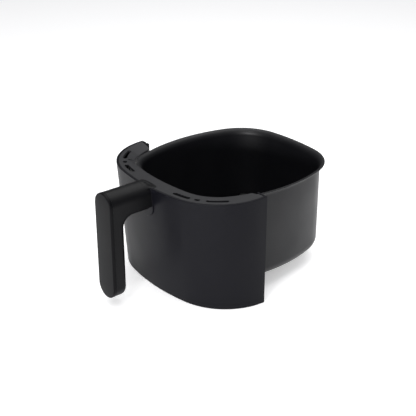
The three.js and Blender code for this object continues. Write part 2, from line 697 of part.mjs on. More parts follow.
function rootPad() {
  const low = PAD_CENTRE_Z - 2 * PAD_RADIUS;
  const skin = fasciaFill(PAD_FACE_INSET, low, FASCIA_TOP - 1)
    .subtract(fasciaFill(-GAP, low - 1, FASCIA_TOP));
  const tab = [
    ...arc(0, PAD_CENTRE_Z, PAD_RADIUS, Math.PI, 2 * Math.PI, 14),
    new THREE.Vector2(PAD_RADIUS, FASCIA_TOP - 1),
    new THREE.Vector2(-PAD_RADIUS, FASCIA_TOP - 1),
  ];
  return toGeometry(cut(skin.intersect(prismY(tab, FASCIA_FRONT - 5, FASCIA_FRONT + 12)), coreRoom(GAP)));
}

function neckCollar() {
  const block = prismY(armSection(NECK_INSET), ARM_BACK + GAP, FASCIA_FRONT + 5);
  const top = box(-GRIP_WIDTH, GRIP_WIDTH, ARM_BACK, FASCIA_FRONT + 6, FASCIA_TOP, HANDLE_TOP);
  const behind = fasciaFill(PAD_FACE_INSET - GAP, FASCIA_BOTTOM, HANDLE_TOP + 1);
  return toGeometry(cut(block, [top, behind, ...coreRoom(GAP)]));
}

/** The cap on the front of the grip, with its bevelled front edge. */
function handleFrontCover() {
  const backFace = prismY(pill(0), HANDLE_FRONT + COVER_BEVEL, HANDLE_FRONT + COVER_THICKNESS);
  const layer = (inset, z) => pill(inset).map((p) => new THREE.Vector3(p.x, p.y, z));
  const front = loft([layer(0, -0.01), layer(0, 0), layer(COVER_BEVEL, COVER_BEVEL)]);
  front.rotateX(Math.PI / 2).translate(0, HANDLE_FRONT + COVER_BEVEL, 0);
  return toGeometry(backFace.add(toSolid(front)));
}

const handleScrew = (z) => screw(0, CORE_FRONT - GAP, z, SCREW_LENGTH, true);

// ---- crisper plate ----
const CRISPER_EDGE = RIM_OVERHANG + PAN_SHEET + CRISPER_GAP;

const cornerPlaces = [[1, 1], [-1, 1], [-1, -1], [1, -1]].map(([sx, sy]) => {
  const corner = sy > 0 ? PAN_BACK_CORNER : PAN_FRONT_CORNER;
  const centre = cornerCentre(PAN_HALF_WIDTH, PAN_HALF_DEPTH, PAN_SIDE_BOW, PAN_END_BOW, corner);
  return (inset) => new THREE.Vector2(
    sx * (centre.x + (corner - inset) * Math.SQRT1_2),
    sy * (centre.y + (corner - inset) * Math.SQRT1_2),
  );
});
const FOOT_INSET = RIM_OVERHANG + PAN_SHEET + FOOT_WALL_GAP + FOOT_RADIUS;

function holePlaces() {
  const places = [];
  const reachX = PAN_HALF_WIDTH - CRISPER_EDGE - HOLE_MARGIN;
  const reachY = PAN_HALF_DEPTH - CRISPER_EDGE - HOLE_MARGIN;
  const rowPitch = HOLE_PITCH * Math.sin(Math.PI / 3);
  const rows = Math.floor(reachY / rowPitch);
  const columns = Math.floor(reachX / HOLE_PITCH);
  for (let row = -rows; row <= rows; row += 1) {
    for (let column = -columns; column <= columns; column += 1) {
      const x = (column + (row % 2 ? 0.5 : 0)) * HOLE_PITCH;
      const y = row * rowPitch;
      const far = (Math.abs(x) / reachX) ** HOLE_FIELD_POWER + (Math.abs(y) / reachY) ** HOLE_FIELD_POWER;
      if (far < 1 && Math.hypot(x, y) > LIFT_HOLE_RADIUS + HOLE_MARGIN) places.push({ x, y });
    }
  }
  return places;
}

function crisperPlate() {
  const shape = new THREE.Shape(panOutline(-CRISPER_EDGE));
  holePlaces().forEach(({ x, y }) => {
    shape.holes.push(new THREE.Path(arc(x, y, HOLE_RADIUS, 0, 2 * Math.PI, 8).slice(0, -1).reverse()));
  });
  shape.holes.push(new THREE.Path(arc(0, 0, LIFT_HOLE_RADIUS, 0, 2 * Math.PI, 20).slice(0, -1).reverse()));
  const sheet = new THREE.ExtrudeGeometry(shape, { depth: CRISPER_SHEET, bevelEnabled: false });
  sheet.translate(0, 0, CRISPER_Z - CRISPER_SHEET);
  const flangeLow = CRISPER_Z - CRISPER_FLANGE;
  const flange = prism(panOutline(-CRISPER_EDGE), flangeLow, CRISPER_Z)
    .subtract(prism(panOutline(-CRISPER_EDGE - CRISPER_SHEET), flangeLow - 1, CRISPER_Z + 1));
  const notches = cornerPlaces.map((place) => {
    const at = place(FOOT_INSET);
    return bar(FOOT_RADIUS + GAP, at.x, at.y, 0, CRISPER_Z + 5, false, 20);
  });
  return toGeometry(cut(toSolid(sheet).add(flange), notches));
}

function crisperFoot(place) {
  const upper = place(FOOT_INSET);
  const lower = place(FOOT_INSET + FOOT_LEG_OFFSET);
  const height = CRISPER_Z + FOOT_RISE - FOOT_UPPER_Z;
  const grommet = bar(FOOT_RADIUS, upper.x, upper.y, FOOT_UPPER_Z, height, false, 20);
  const legTop = CRISPER_Z - CRISPER_SHEET - GAP;
  const leg = bar(FOOT_LEG_RADIUS, lower.x, lower.y, PAN_SHEET + GAP, legTop - PAN_SHEET - GAP);
  return toGeometry(grommet.add(leg));
}

// ---- assembly ----
const group = new THREE.Group();

function add(name, geometry, material) {
  const mesh = new THREE.Mesh(geometry, material);
  mesh.name = name;
  group.add(mesh);
}

add('pan', pan(), NON_STICK);
add('pan_mount_plate', panMountPlate(), STEEL);
standoffPlaces.forEach((place, i) => add(`standoff_${i + 1}`, standoff(place), STEEL));
add('fascia_inner_cover', fasciaInnerCover(), MATT_BLACK);
standoffPlaces.forEach((place, i) => add(`fascia_screw_${i + 1}`, fasciaScrew(place), STEEL));
add('fascia_outer_shell', fasciaOuterShell(), SATIN_BLACK);
add('bezel', bezel(), MATT_BLACK);
bossPlaces.forEach((place, i) => add(`bezel_screw_${i + 1}`, bezelScrew(place), STEEL));
add('handle_core', handleCore(), STEEL);
[-1, 1].forEach((side, i) => add(`handle_washer_${i + 1}`, washer(side), STEEL));
[-1, 1].forEach((side, i) => add(`handle_nut_${i + 1}`, nut(side), STEEL));
add('handle_root_pad', rootPad(), SATIN_BLACK);
add('handle_neck_collar', neckCollar(), HANDLE_BLACK);
add('handle_body', handleBody(), HANDLE_BLACK);
handleScrewPlaces.forEach((z, i) => add(`handle_screw_${i + 1}`, handleScrew(z), STEEL));
add('handle_front_cover', handleFrontCover(), HANDLE_BLACK);
add('crisper_plate', crisperPlate(), NON_STICK);
cornerPlaces.forEach((place, i) => add(`crisper_foot_${i + 1}`, crisperFoot(place), SILICONE));

export default group;
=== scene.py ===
import math

import bmesh
import bpy
import numpy as np
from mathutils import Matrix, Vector


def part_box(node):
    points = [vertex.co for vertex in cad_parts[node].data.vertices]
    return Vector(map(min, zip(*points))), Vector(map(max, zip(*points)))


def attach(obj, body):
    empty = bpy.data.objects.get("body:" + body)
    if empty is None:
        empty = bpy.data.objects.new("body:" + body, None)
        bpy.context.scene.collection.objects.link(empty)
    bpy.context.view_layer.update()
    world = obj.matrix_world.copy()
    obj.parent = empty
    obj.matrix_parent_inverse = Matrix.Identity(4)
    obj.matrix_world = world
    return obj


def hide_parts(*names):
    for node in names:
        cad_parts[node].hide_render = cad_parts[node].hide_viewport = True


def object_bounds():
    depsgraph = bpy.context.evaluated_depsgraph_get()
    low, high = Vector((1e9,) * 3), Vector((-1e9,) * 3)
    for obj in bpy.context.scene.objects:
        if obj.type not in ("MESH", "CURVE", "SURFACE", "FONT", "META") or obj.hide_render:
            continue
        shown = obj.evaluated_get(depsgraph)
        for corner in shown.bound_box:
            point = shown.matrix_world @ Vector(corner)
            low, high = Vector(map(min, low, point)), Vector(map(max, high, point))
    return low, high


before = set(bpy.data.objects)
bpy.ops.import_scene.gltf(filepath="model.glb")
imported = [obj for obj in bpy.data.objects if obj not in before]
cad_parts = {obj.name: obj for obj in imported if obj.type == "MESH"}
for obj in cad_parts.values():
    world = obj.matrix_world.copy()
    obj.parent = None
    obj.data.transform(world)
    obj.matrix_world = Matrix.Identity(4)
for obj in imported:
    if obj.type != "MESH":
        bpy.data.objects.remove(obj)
cad_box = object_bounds()

# Camera and studio
# A product shot on a lit white table: a long lens looks down on the drawer from its front right. A
# wide soft box hangs overhead, a low one reaches in under the rim, a narrow one picks out the edges,
# and the table's translucent top glows, most of all near the drawer.
CAMERA_AZIMUTH = 50.67
CAMERA_ELEVATION = 25.85
CAMERA_DISTANCE = 1.354
CAMERA_TARGET = Vector((-0.0449, -0.0052, 0.0406))
CAMERA_LENS = 81.42
LIGHT_TARGET = Vector((0, 0, 0.07))
TABLE_HALF_SIZE = 6
TABLE_DROP = 0.0004  # just under the fascia's lower edge, so that the two faces don't flicker


def bearing(azimuth, elevation):
    """The direction at an azimuth round from the drawer's front and an elevation, both in degrees."""
    turn = math.radians(azimuth)
    rise = math.radians(elevation)
    return Vector((math.sin(turn) * math.cos(rise), -math.cos(turn) * math.cos(rise), math.sin(rise)))


camera = bpy.data.objects.new("camera", bpy.data.cameras.new("camera"))
bpy.context.scene.collection.objects.link(camera)
towards_camera = bearing(CAMERA_AZIMUTH, CAMERA_ELEVATION)
camera.location = CAMERA_TARGET + towards_camera * CAMERA_DISTANCE
camera.rotation_euler = towards_camera.to_track_quat("Z", "Y").to_euler()
camera.data.sensor_width = 36
camera.data.lens = CAMERA_LENS
bpy.context.scene.camera = camera
bpy.context.scene.view_settings.view_transform = "Standard"


def hang_soft_box(name, azimuth, elevation, distance, width, height, power):
    """A rectangular soft box, its bearing in degrees, sizes in metres and power in watts, turned to
    face the drawer."""
    light = bpy.data.lights.new(name, "AREA")
    light.shape = "RECTANGLE"
    light.size = width
    light.size_y = height
    light.energy = power
    towards_light = bearing(azimuth, elevation)
    soft_box = bpy.data.objects.new(name, light)
    soft_box.location = LIGHT_TARGET + towards_light * distance
    soft_box.rotation_euler = towards_light.to_track_quat("Z", "Y").to_euler()
    bpy.context.scene.collection.objects.link(soft_box)


hang_soft_box("overhead_soft_box", 200, 80, 1.6, 1.8, 1.8, 21)
hang_soft_box("low_soft_box", 30, 8.5, 1.8, 0.9, 0.14, 20)
hang_soft_box("edge_soft_box", 30, 42, 1.6, 0.22, 0.8, 5)

ceiling = bpy.data.lights.new("white_ceiling", "SUN")
ceiling.energy = 1.3
ceiling.angle = math.radians(120)
ceiling_lamp = bpy.data.objects.new("white_ceiling", ceiling)
bpy.context.scene.collection.objects.link(ceiling_lamp)

studio = bpy.data.worlds.new("studio")
bpy.context.scene.world = studio
studio.use_nodes = True
studio.node_tree.nodes["Background"].inputs["Color"].default_value = (0.97, 0.98, 1, 1)
studio.node_tree.nodes["Background"].inputs["Strength"].default_value = 0.14


def linear(hex_colour):
    """An sRGB hex colour as the linear values that a shader takes."""
    channels = [int(hex_colour[i:i + 2], 16) / 255 for i in (1, 3, 5)]
    return tuple(c / 12.92 if c <= 0.04045 else ((c + 0.055) / 1.055) ** 2.4 for c in channels) + (1,)


def add_node(tree, kind, settings=None, links=None):
    """Adds a node, sets its properties or sockets by name, and feeds its inputs."""
    node = tree.nodes.new(kind)
    for name, value in (settings or {}).items():
        if name in node.inputs:
            node.inputs[name].default_value = value
        else:
            setattr(node, name, value)
    for name, source in (links or {}).items():
        tree.links.new(source, node.inputs[name])
    return node


table_z = cad_box[0][2] - TABLE_DROP
table_mesh = bpy.data.meshes.new("table")
table_mesh.from_pydata(
    [(x * TABLE_HALF_SIZE, y * TABLE_HALF_SIZE, table_z) for x, y in ((-1, -1), (1, -1), (1, 1), (-1, 1))],
    [],
    [(0, 1, 2, 3)],
)
table = bpy.data.objects.new("table", table_mesh)
bpy.context.scene.collection.objects.link(table)
acrylic = bpy.data.materials.new("white_opal_acrylic")
acrylic.use_nodes = True
acrylic_shader = acrylic.node_tree.nodes["Principled BSDF"]
acrylic_shader.inputs["Base Color"].default_value = linear("#f4f4f5")
acrylic_shader.inputs["Roughness"].default_value = 0.8
acrylic_shader.inputs["Emission Color"].default_value = linear("#ffffff")
table_place = add_node(acrylic.node_tree, "ShaderNodeTexCoord")
table_radius = add_node(acrylic.node_tree, "ShaderNodeVectorMath", {"operation": "LENGTH"})
acrylic.node_tree.links.new(table_place.outputs["Object"], table_radius.inputs[0])
table_glow = add_node(
    acrylic.node_tree, "ShaderNodeMapRange",
    {"From Min": 0.15, "From Max": 0.9, "To Min": 0.42, "To Max": 0.16},
    {"Value": table_radius.outputs["Value"]},
)
acrylic.node_tree.links.new(table_glow.outputs["Result"], acrylic_shader.inputs["Emission Strength"])
table_mesh.materials.append(acrylic)

# Pan
# The pan is one deep-drawn steel sheet with a non-stick coat. Its sides bow outwards a little,
# the bottom turns up in a wide fillet, and the top flares out into a rolled rim.
MM = 0.001
PAN_SIDE_BOW = 227 * MM
PAN_END_BOW = 310 * MM
PAN_FRONT_CORNER = 55.6 * MM
PAN_BACK_CORNER = 69.4 * MM
PAN_SHEET = 1.2 * MM
RIM_OVERHANG = 6.5 * MM
RIM_DROP = 9 * MM
RIM_BEAD = 0.7 * MM
BASE_FILLET = 15 * MM
WELD_REACH = 0.002 * MM
PAN_HALF_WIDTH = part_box("pan")[1].x
PAN_HALF_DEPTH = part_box("pan")[1].y
PAN_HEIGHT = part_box("pan")[1].z


def arc(centre_x, centre_y, radius, start, end, step=1.5 * MM):
    """Points on an arc, both ends included, close enough to look round."""
    count = max(3, int(abs(end - start) * radius / step) + 1)
    turn = np.linspace(start, end, count)
    return np.stack([centre_x + radius * np.cos(turn), centre_y + radius * np.sin(turn)], axis=1)


def pan_corner_centre(corner):
    """Centre of the arc that joins a bowed side to a bowed end of the pan."""
    side = np.array([PAN_HALF_WIDTH - PAN_SIDE_BOW, 0])
    end = np.array([0, PAN_HALF_DEPTH - PAN_END_BOW])
    distance = np.linalg.norm(end - side)
    unit = (end - side) / distance
    reach = PAN_SIDE_BOW - corner
    along = (reach ** 2 - (PAN_END_BOW - corner) ** 2 + distance ** 2) / (2 * distance)
    across = math.sqrt(reach ** 2 - along ** 2)
    return side + unit * along + np.array([-unit[1], unit[0]]) * across


def pan_quarter(corner, offset):
    """The pan's outline from the middle of its side to the middle of its end, moved out by offset."""
    centre = pan_corner_centre(corner)
    side_x = PAN_HALF_WIDTH - PAN_SIDE_BOW
    end_y = PAN_HALF_DEPTH - PAN_END_BOW
    turn_side = math.atan2(centre[1], centre[0] - side_x)
    turn_end = math.atan2(centre[1] - end_y, centre[0])
    return np.concatenate([
        arc(side_x, 0, PAN_SIDE_BOW + offset, 0, turn_side, step=4 * MM),
        arc(centre[0], centre[1], corner + offset, turn_side, turn_end, step=3 * MM)[1:],
        arc(0, end_y, PAN_END_BOW + offset, turn_end, math.pi / 2, step=4 * MM)[1:],
    ])


def resample(line, count, closed=False):
    """The same line with its points spaced evenly."""
    points = np.concatenate([line, line[:1]]) if closed else line
    along = np.concatenate([[0], np.cumsum(np.linalg.norm(np.diff(points, axis=0), axis=1))])
    places = np.linspace(0, along[-1], count, endpoint=not closed)
    return np.stack([np.interp(places, along, points[:, i]) for i in range(points.shape[1])], axis=1)


def pan_outline(offset=0.0, count=360):
    """The rim's outline seen from above, counter-clockwise from the right, moved out by offset."""
    back = pan_quarter(PAN_BACK_CORNER, offset)
    front = pan_quarter(PAN_FRONT_CORNER, offset)
    line = np.concatenate([
        back,
        (back * [-1, 1])[::-1][1:],
        (front * [-1, -1])[1:],
        (front * [1, -1])[::-1][1:-1],
    ])
    return resample(line, count, closed=True)


def at_height(line, z):
    """A flat line lifted to a height."""
    return np.concatenate([line, np.full((len(line), 1), z)], axis=1)


def skin(rings, closed_along=False):
    """Vertices and faces of a solid through rings with equal numbers of points. It is capped at its
    first and last rings, or its last ring joins its first."""
    rings = np.asarray(rings)
    rows, columns = rings.shape[:2]
    faces = []
    for row in range(rows if closed_along else rows - 1):
        above = (row + 1) % rows
        for column in range(columns):
            following = (column + 1) % columns
            faces.append((
                row * columns + column,
                row * columns + following,
                above * columns + following,
                above * columns + column,
            ))
    if not closed_along:
        faces.append(tuple(reversed(range(columns))))
        faces.append(tuple(range((rows - 1) * columns, rows * columns)))
    return rings.reshape(-1, 3), faces


def make_mesh(name, vertices, faces):
    """A mesh object whose faces all point outwards."""
    mesh = bpy.data.meshes.new(name)
    mesh.from_pydata([tuple(v) for v in vertices], [], faces)
    build = bmesh.new()
    build.from_mesh(mesh)
    bmesh.ops.remove_doubles(build, verts=build.verts, dist=WELD_REACH)
    bmesh.ops.recalc_face_normals(build, faces=build.faces)
    build.to_mesh(mesh)
    build.free()
    piece = bpy.data.objects.new(name, mesh)
    bpy.context.scene.collection.objects.link(piece)
    return piece


def fit_piece(piece, material, body, slot, *nodes, crease=35):
    """Gives a finished mesh its shading and material, and fits it in place of its CAD nodes."""
    piece.data.materials.clear()
    piece.data.materials.append(material)
    piece.data.shade_smooth()
    piece.data.set_sharp_from_angle(angle=math.radians(crease))
    even_shading = piece.modifiers.new("even_shading", "WEIGHTED_NORMAL")
    even_shading.keep_sharp = True
    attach(piece, body)
    if nodes:
        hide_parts(*nodes)


def new_finish(name):
    """An empty material with the object's own coordinates: its tree, shader and position socket."""
    material = bpy.data.materials.new(name)
    material.use_nodes = True
    tree = material.node_tree
    place = add_node(tree, "ShaderNodeTexCoord")
    return material, tree, tree.nodes["Principled BSDF"], place.outputs["Object"]


def non_stick_coat(name, colour, fleck, roughness):
    """Sprayed and baked PTFE on steel: black with a fine mineral fleck, a faint orange peel in its
    gloss, and a slightly uneven sheen where the spray lay thicker. Fleck and peel are drawn about
    three times as coarse as the real ones, so that they show."""
    fleck_size = 1.1 * MM
    peel_size = 2.2 * MM
    peel_depth = 0.05 * MM
    cloud_size = 45 * MM
    material, tree, shader, place = new_finish(name)
    flecks = add_node(tree, "ShaderNodeTexNoise", {"Scale": 1 / fleck_size, "Detail": 3.0}, {"Vector": place})
    fleck_mask = add_node(
        tree, "ShaderNodeMapRange",
        {"From Min": 0.6, "From Max": 0.74, "To Min": 0.0, "To Max": 1.0},
        {"Value": flecks.outputs["Fac"]},
    )
    tint = add_node(
        tree, "ShaderNodeMix", {"data_type": "RGBA"}, {"Factor": fleck_mask.outputs["Result"]},
    )
    tint.inputs["A"].default_value = linear(colour)
    tint.inputs["B"].default_value = linear(fleck)
    cloud = add_node(tree, "ShaderNodeTexNoise", {"Scale": 1 / cloud_size, "Detail": 2.0}, {"Vector": place})
    sheen = add_node(
        tree, "ShaderNodeMapRange",
        {"From Min": 0.3, "From Max": 0.7, "To Min": roughness - 0.04, "To Max": roughness + 0.05},
        {"Value": cloud.outputs["Fac"]},
    )
    peel = add_node(tree, "ShaderNodeTexNoise", {"Scale": 1 / peel_size, "Detail": 2.0}, {"Vector": place})
    bump = add_node(
        tree, "ShaderNodeBump", {"Strength": 0.25, "Distance": peel_depth}, {"Height": peel.outputs["Fac"]},
    )
    tree.links.new(tint.outputs["Result"], shader.inputs["Base Color"])
    tree.links.new(sheen.outputs["Result"], shader.inputs["Roughness"])
    tree.links.new(bump.outputs["Normal"], shader.inputs["Normal"])
    shader.inputs["IOR"].default_value = 1.36
    return material


def pan_profile():
    """The pan's section as [in from the rim's edge, height], from the middle of the outer base to
    the middle of the inner one."""
    quarter = np.linspace(0, math.pi / 2, 12)
    inner_wall = RIM_OVERHANG + PAN_SHEET
    flare = PAN_HEIGHT - RIM_DROP
    outer_flare = RIM_OVERHANG - RIM_BEAD
    inner_flare = inner_wall - RIM_BEAD
    inner_fillet = BASE_FILLET - PAN_SHEET
    outer_base = [
        (RIM_OVERHANG + BASE_FILLET * (1 - math.sin(t)), BASE_FILLET * (1 - math.cos(t))) for t in quarter
    ]
    underside = [
        (RIM_OVERHANG - outer_flare * (1 - math.cos(t)), flare + (RIM_DROP - 2 * RIM_BEAD) * math.sin(t))
        for t in quarter
    ]
    edge = [
        (RIM_BEAD - RIM_BEAD * math.sin(t), PAN_HEIGHT - RIM_BEAD - RIM_BEAD * math.cos(t))
        for t in np.linspace(0, math.pi, 9)[1:-1]
    ]
    shoulder = [
        (inner_wall - inner_flare * (1 - math.cos(t)), flare + RIM_DROP * math.sin(t))
        for t in quarter[::-1]
    ]
    inner_base = [
        (inner_wall + inner_fillet * (1 - math.cos(t)), PAN_SHEET + inner_fillet * (1 - math.sin(t)))
        for t in quarter
    ]
    return outer_base + underside + edge + shoulder + inner_base


pan_rings = [at_height(pan_outline(-inset), z) for inset, z in pan_profile()]
pan = make_mesh("drawn_pan", *skin(pan_rings))
pan_coat = non_stick_coat("non_stick_pan_coat", "#101013", "#1a1a1e", 0.42)
fit_piece(pan, pan_coat, "drawer", "non_stick_pan", "pan", crease=60)

# Fascia outer shell
# The front panel is an injection-moulded ABS shell, bowed in front, turned back in two wide corners
# and leaning in towards its foot. A flange runs along its foot and its ends to stiffen it.
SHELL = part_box("fascia_outer_shell")
FASCIA_BOW = 297 * MM
FASCIA_CORNER = 83 * MM
FASCIA_LEAN = 12.7 * MM
FASCIA_WALL = 3 * MM
FASCIA_FLANGE = 2.5 * MM
FASCIA_DEPTH = 17 * MM
FASCIA_GRAIN = 0.7 * MM
SHELL_EDGE = 0.7 * MM
CLOSEST_POINT = 0.01 * MM  # points of the line any nearer than this to its end are left out
POCKET_EDGE = 0.5 * MM
POCKET_OVERRUN = 2 * MM
FASCIA_END_LEFT = -60 * MM
FASCIA_END_RIGHT = SHELL[1].y
FASCIA_TOP = SHELL[1].z
FASCIA_BOTTOM = SHELL[0].z
FASCIA_FRONT = SHELL[0].y
FASCIA_HALF_WIDTH = SHELL[1].x
RIB_WIDTH = 1.2 * MM
RIB_HEIGHT = 1.3 * MM
RIB_PITCH = 3.2 * MM
RIB_START = 0.4 * MM - FASCIA_HALF_WIDTH
NOTCH_INSET = 9.3 * MM
NOTCH_WIDTH = 2.6 * MM
NOTCH_DEPTH = 2 * MM
RIB_Z = (FASCIA_TOP - 40 * MM, FASCIA_TOP - 0.8 * MM)
BOW_CENTRE_Y = FASCIA_FRONT + FASCIA_BOW
CORNER_X = FASCIA_HALF_WIDTH - FASCIA_CORNER
CORNER_Y = BOW_CENTRE_Y - math.sqrt((FASCIA_BOW - FASCIA_CORNER) ** 2 - CORNER_X ** 2)
GAP = 0.3 * MM
CUT_OVERRUN = 5 * MM  # how far a cutting block runs on past what it cuts


def lean_at(z):
    """How far the fascia has come in at a height."""
    return FASCIA_LEAN * (FASCIA_TOP - z) / (FASCIA_TOP - FASCIA_BOTTOM)


def fascia_line(inset, z, end_inset=0.0, count=160):
    """The fascia's line at a height, from its left end round the front to its right end."""
    turn = math.atan2(CORNER_Y - BOW_CENTRE_Y, CORNER_X)
    half = np.concatenate([
        arc(0, BOW_CENTRE_Y, FASCIA_BOW - inset, -math.pi / 2, turn, step=MM),
        arc(CORNER_X, CORNER_Y, FASCIA_CORNER - inset, turn, 0, step=MM)[1:],
        [[FASCIA_HALF_WIDTH - inset, 0]],
    ])

    def cut_half(end_y):
        """The half line as far as the end's square cut."""
        y = end_y - end_inset - lean_at(z)
        keep = half[:, 1] < y - CLOSEST_POINT
        x = np.interp(y, half[:, 1], half[:, 0])
        return np.concatenate([half[keep], [[x, y]]])

    left = cut_half(FASCIA_END_LEFT) * [-1, 1]
    line = np.concatenate([left[::-1], cut_half(FASCIA_END_RIGHT)[1:]])
    return at_height(resample(line, count) + [0, lean_at(z)], z)


def fascia_sweep(name, profile, end_inset=0.0):
    """A closed solid with the given section, [inset, height], all along the fascia's line."""
    lines = np.stack([fascia_line(inset, z, end_inset) for inset, z in profile], axis=1)
    return make_mesh(name, *skin(lines))


def rounded_box_section(inset_low, inset_high, low, high, radius, levels=6):
    """A section [inset, height] with its outer corners rounded and its tall sides split in levels."""
    quarter = np.linspace(0, math.pi / 2, 5)
    up = [(inset_low, z) for z in np.linspace(low + radius, high - radius, levels)[1:-1]]
    down = [(inset_high, z) for z in np.linspace(high - radius, low + radius, levels)[1:-1]]
    corners = (
        (inset_low + radius, low + radius, math.pi * 1.5, -1),
        (inset_low + radius, high - radius, math.pi, -1),
        (inset_high - radius, high - radius, math.pi / 2, -1),
        (inset_high - radius, low + radius, 0, -1),
    )
    sides = (up, [], down, [])
    section = []
    for (x, z, start, way), side in zip(corners, sides):
        angles = [start + way * t for t in quarter]
        section += [(x + radius * math.cos(angle), z + radius * math.sin(angle)) for angle in angles]
        section += side
    return section


def block(name, x_range, y_range, z_range):
    """A closed block, for cutting another piece or as the rough start of one."""
    corners = [(x, y, z) for z in z_range for y in y_range for x in x_range]
    faces = [(0, 2, 3, 1), (4, 5, 7, 6), (0, 1, 5, 4), (2, 6, 7, 3), (0, 4, 6, 2), (1, 3, 7, 5)]
    return make_mesh(name, corners, faces)


def combine(piece, others, operation):
    """Joins or cuts a piece with other closed meshes, which are used up."""
    for other in others:
        modifier = piece.modifiers.new("combine", "BOOLEAN")
        modifier.object = other
        modifier.operation = operation
        modifier.solver = "EXACT"
    bpy.context.view_layer.update()
    result = bpy.data.meshes.new_from_object(piece.evaluated_get(bpy.context.evaluated_depsgraph_get()))
    piece.modifiers.clear()
    piece.data = result
    for other in others:
        bpy.data.objects.remove(other)


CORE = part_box("handle_core")
CORE_HALF_WIDTH = 7 * MM
CORE_THICKNESS = 3.5 * MM
CORE_FRONT = CORE[0].y
CORE_BACK = CORE[1].y
CORE_STRAP_DROP = 29.6 * MM  # from the handle's top to the strap's underside
CORE_STRAP_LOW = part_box("handle_body")[1].z - CORE_STRAP_DROP
WINDOW_HALF_WIDTH = 12 * MM
WINDOW_BELOW = 13 * MM  # its reach below and above the strap's underside
WINDOW_ABOVE = 8 * MM


def core_window(name, grow):
    """The opening in the fascia's walls that the handle's steel core comes out through."""
    return block(
        name,
        (-WINDOW_HALF_WIDTH - grow, WINDOW_HALF_WIDTH + grow),
        (FASCIA_FRONT - CUT_OVERRUN, -PAN_HALF_DEPTH),
        (CORE_STRAP_LOW - WINDOW_BELOW - grow, CORE_STRAP_LOW + WINDOW_ABOVE + grow),
    )


def core_room(name):
    """A channel that keeps the core's strap clear of the mouldings round it."""
    half = CORE_HALF_WIDTH + GAP
    return block(
        name,
        (-half, half),
        (CORE_FRONT - GAP, CORE_BACK + 2 * CUT_OVERRUN),
        (CORE_STRAP_LOW - GAP, CORE_STRAP_LOW + CORE_THICKNESS + GAP),
    )


def moulded_plastic(name, colour, grain, roughness, bump_strength, ior=1.5):
    """Injection-moulded ABS from a spark-eroded mould: a matt satin black whose fine pits break the
    gloss. Its colour carries painted shade and light on the grain: darker in the pits and greyer where
    the grain stands higher. The real grain is about 0.15 mm, too fine to show, and is drawn four to six
    times as coarse."""
    pit_depth = 0.04 * MM
    drift_size = 60 * MM
    material, tree, shader, place = new_finish(name)
    pits = add_node(
        tree, "ShaderNodeTexNoise", {"Scale": 1 / grain, "Detail": 4.0, "Roughness": 0.6}, {"Vector": place},
    )
    drift = add_node(tree, "ShaderNodeTexNoise", {"Scale": 1 / drift_size, "Detail": 1.0}, {"Vector": place})
    # Painted shade: the noise that drives the bump also darkens the colour in the pits and lightens it on the
    # peaks.
    pit_shade = add_node(
        tree, "ShaderNodeMapRange",
        {"From Min": 0.35, "From Max": 0.65, "To Min": 0.88, "To Max": 1.12},
        {"Value": pits.outputs["Fac"]},
    )
    tint = add_node(
        tree, "ShaderNodeVectorMath", {"operation": "SCALE"}, {"Scale": pit_shade.outputs["Result"]},
    )
    tint.inputs[0].default_value = linear(colour)[:3]
    gloss = add_node(
        tree, "ShaderNodeMapRange",
        {"From Min": 0.3, "From Max": 0.7, "To Min": roughness - 0.03, "To Max": roughness + 0.03},
        {"Value": drift.outputs["Fac"]},
    )
    bump = add_node(
        tree, "ShaderNodeBump",
        {"Strength": bump_strength, "Distance": pit_depth},
        {"Height": pits.outputs["Fac"]},
    )
    tree.links.new(tint.outputs["Vector"], shader.inputs["Base Color"])
    tree.links.new(gloss.outputs["Result"], shader.inputs["Roughness"])
    tree.links.new(bump.outputs["Normal"], shader.inputs["Normal"])
    shader.inputs["IOR"].default_value = ior
    return material


shell = fascia_sweep(
    "fascia_shell",
    rounded_box_section(0, FASCIA_DEPTH, FASCIA_BOTTOM, FASCIA_TOP, SHELL_EDGE),
)
pocket_section = rounded_box_section(
    FASCIA_WALL, FASCIA_DEPTH + POCKET_OVERRUN,
    FASCIA_BOTTOM + FASCIA_FLANGE, FASCIA_TOP + POCKET_OVERRUN,
    POCKET_EDGE,
)
shell_pocket = fascia_sweep("shell_pocket", pocket_section, FASCIA_FLANGE)
notch_x = NOTCH_INSET - FASCIA_HALF_WIDTH
notch_y = (FASCIA_END_LEFT - NOTCH_DEPTH, FASCIA_END_LEFT + MM)
end_notch = block("end_notch", (notch_x, notch_x + NOTCH_WIDTH), notch_y, (RIB_Z[0], FASCIA_TOP + MM))
combine(shell, [shell_pocket, core_window("shell_window", 0), end_notch], "DIFFERENCE")
end_ribs = [
    block(f"end_rib_{index}", (x, x + RIB_WIDTH), (FASCIA_END_LEFT - MM, FASCIA_END_LEFT + RIB_HEIGHT), RIB_Z)
    for index, x in enumerate(np.arange(RIB_START, RIB_START + 2.5 * RIB_PITCH, RIB_PITCH))
]
combine(shell, end_ribs, "UNION")
shell_plastic = moulded_plastic("satin_abs_fascia", "#0e0e13", FASCIA_GRAIN, 0.42, 0.15, 1.2)
fit_piece(shell, shell_plastic, "drawer", "fascia_plastic", "fascia_outer_shell")

# Fascia inner cover
# A thinner moulded wall closes the shell from behind. Screws through it hold the fascia to the
# four standoffs on the pan's bracket.
COVER_WALL = 2.5 * MM
COVER_DROP = 15 * MM
COVER_EDGE = 0.5 * MM
COVER_GRAIN = 0.9 * MM
COVER_WINDOW_MARGIN = 2 * MM
COVER_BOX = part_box("fascia_inner_cover")
cover_back = FASCIA_DEPTH - GAP
cover_section = rounded_box_section(
    cover_back - COVER_WALL, cover_back, COVER_BOX[0].z, FASCIA_TOP - COVER_DROP, COVER_EDGE,
)
cover = fascia_sweep("fascia_cover", cover_section, FASCIA_FLANGE + GAP)
combine(cover, [core_window("cover_window", COVER_WINDOW_MARGIN)], "DIFFERENCE")
cover_plastic = moulded_plastic("matt_abs_cover", "#1a1a1b", COVER_GRAIN, 0.6, 0.3)
fit_piece(cover, cover_plastic, "drawer", "cover_plastic", "fascia_inner_cover")

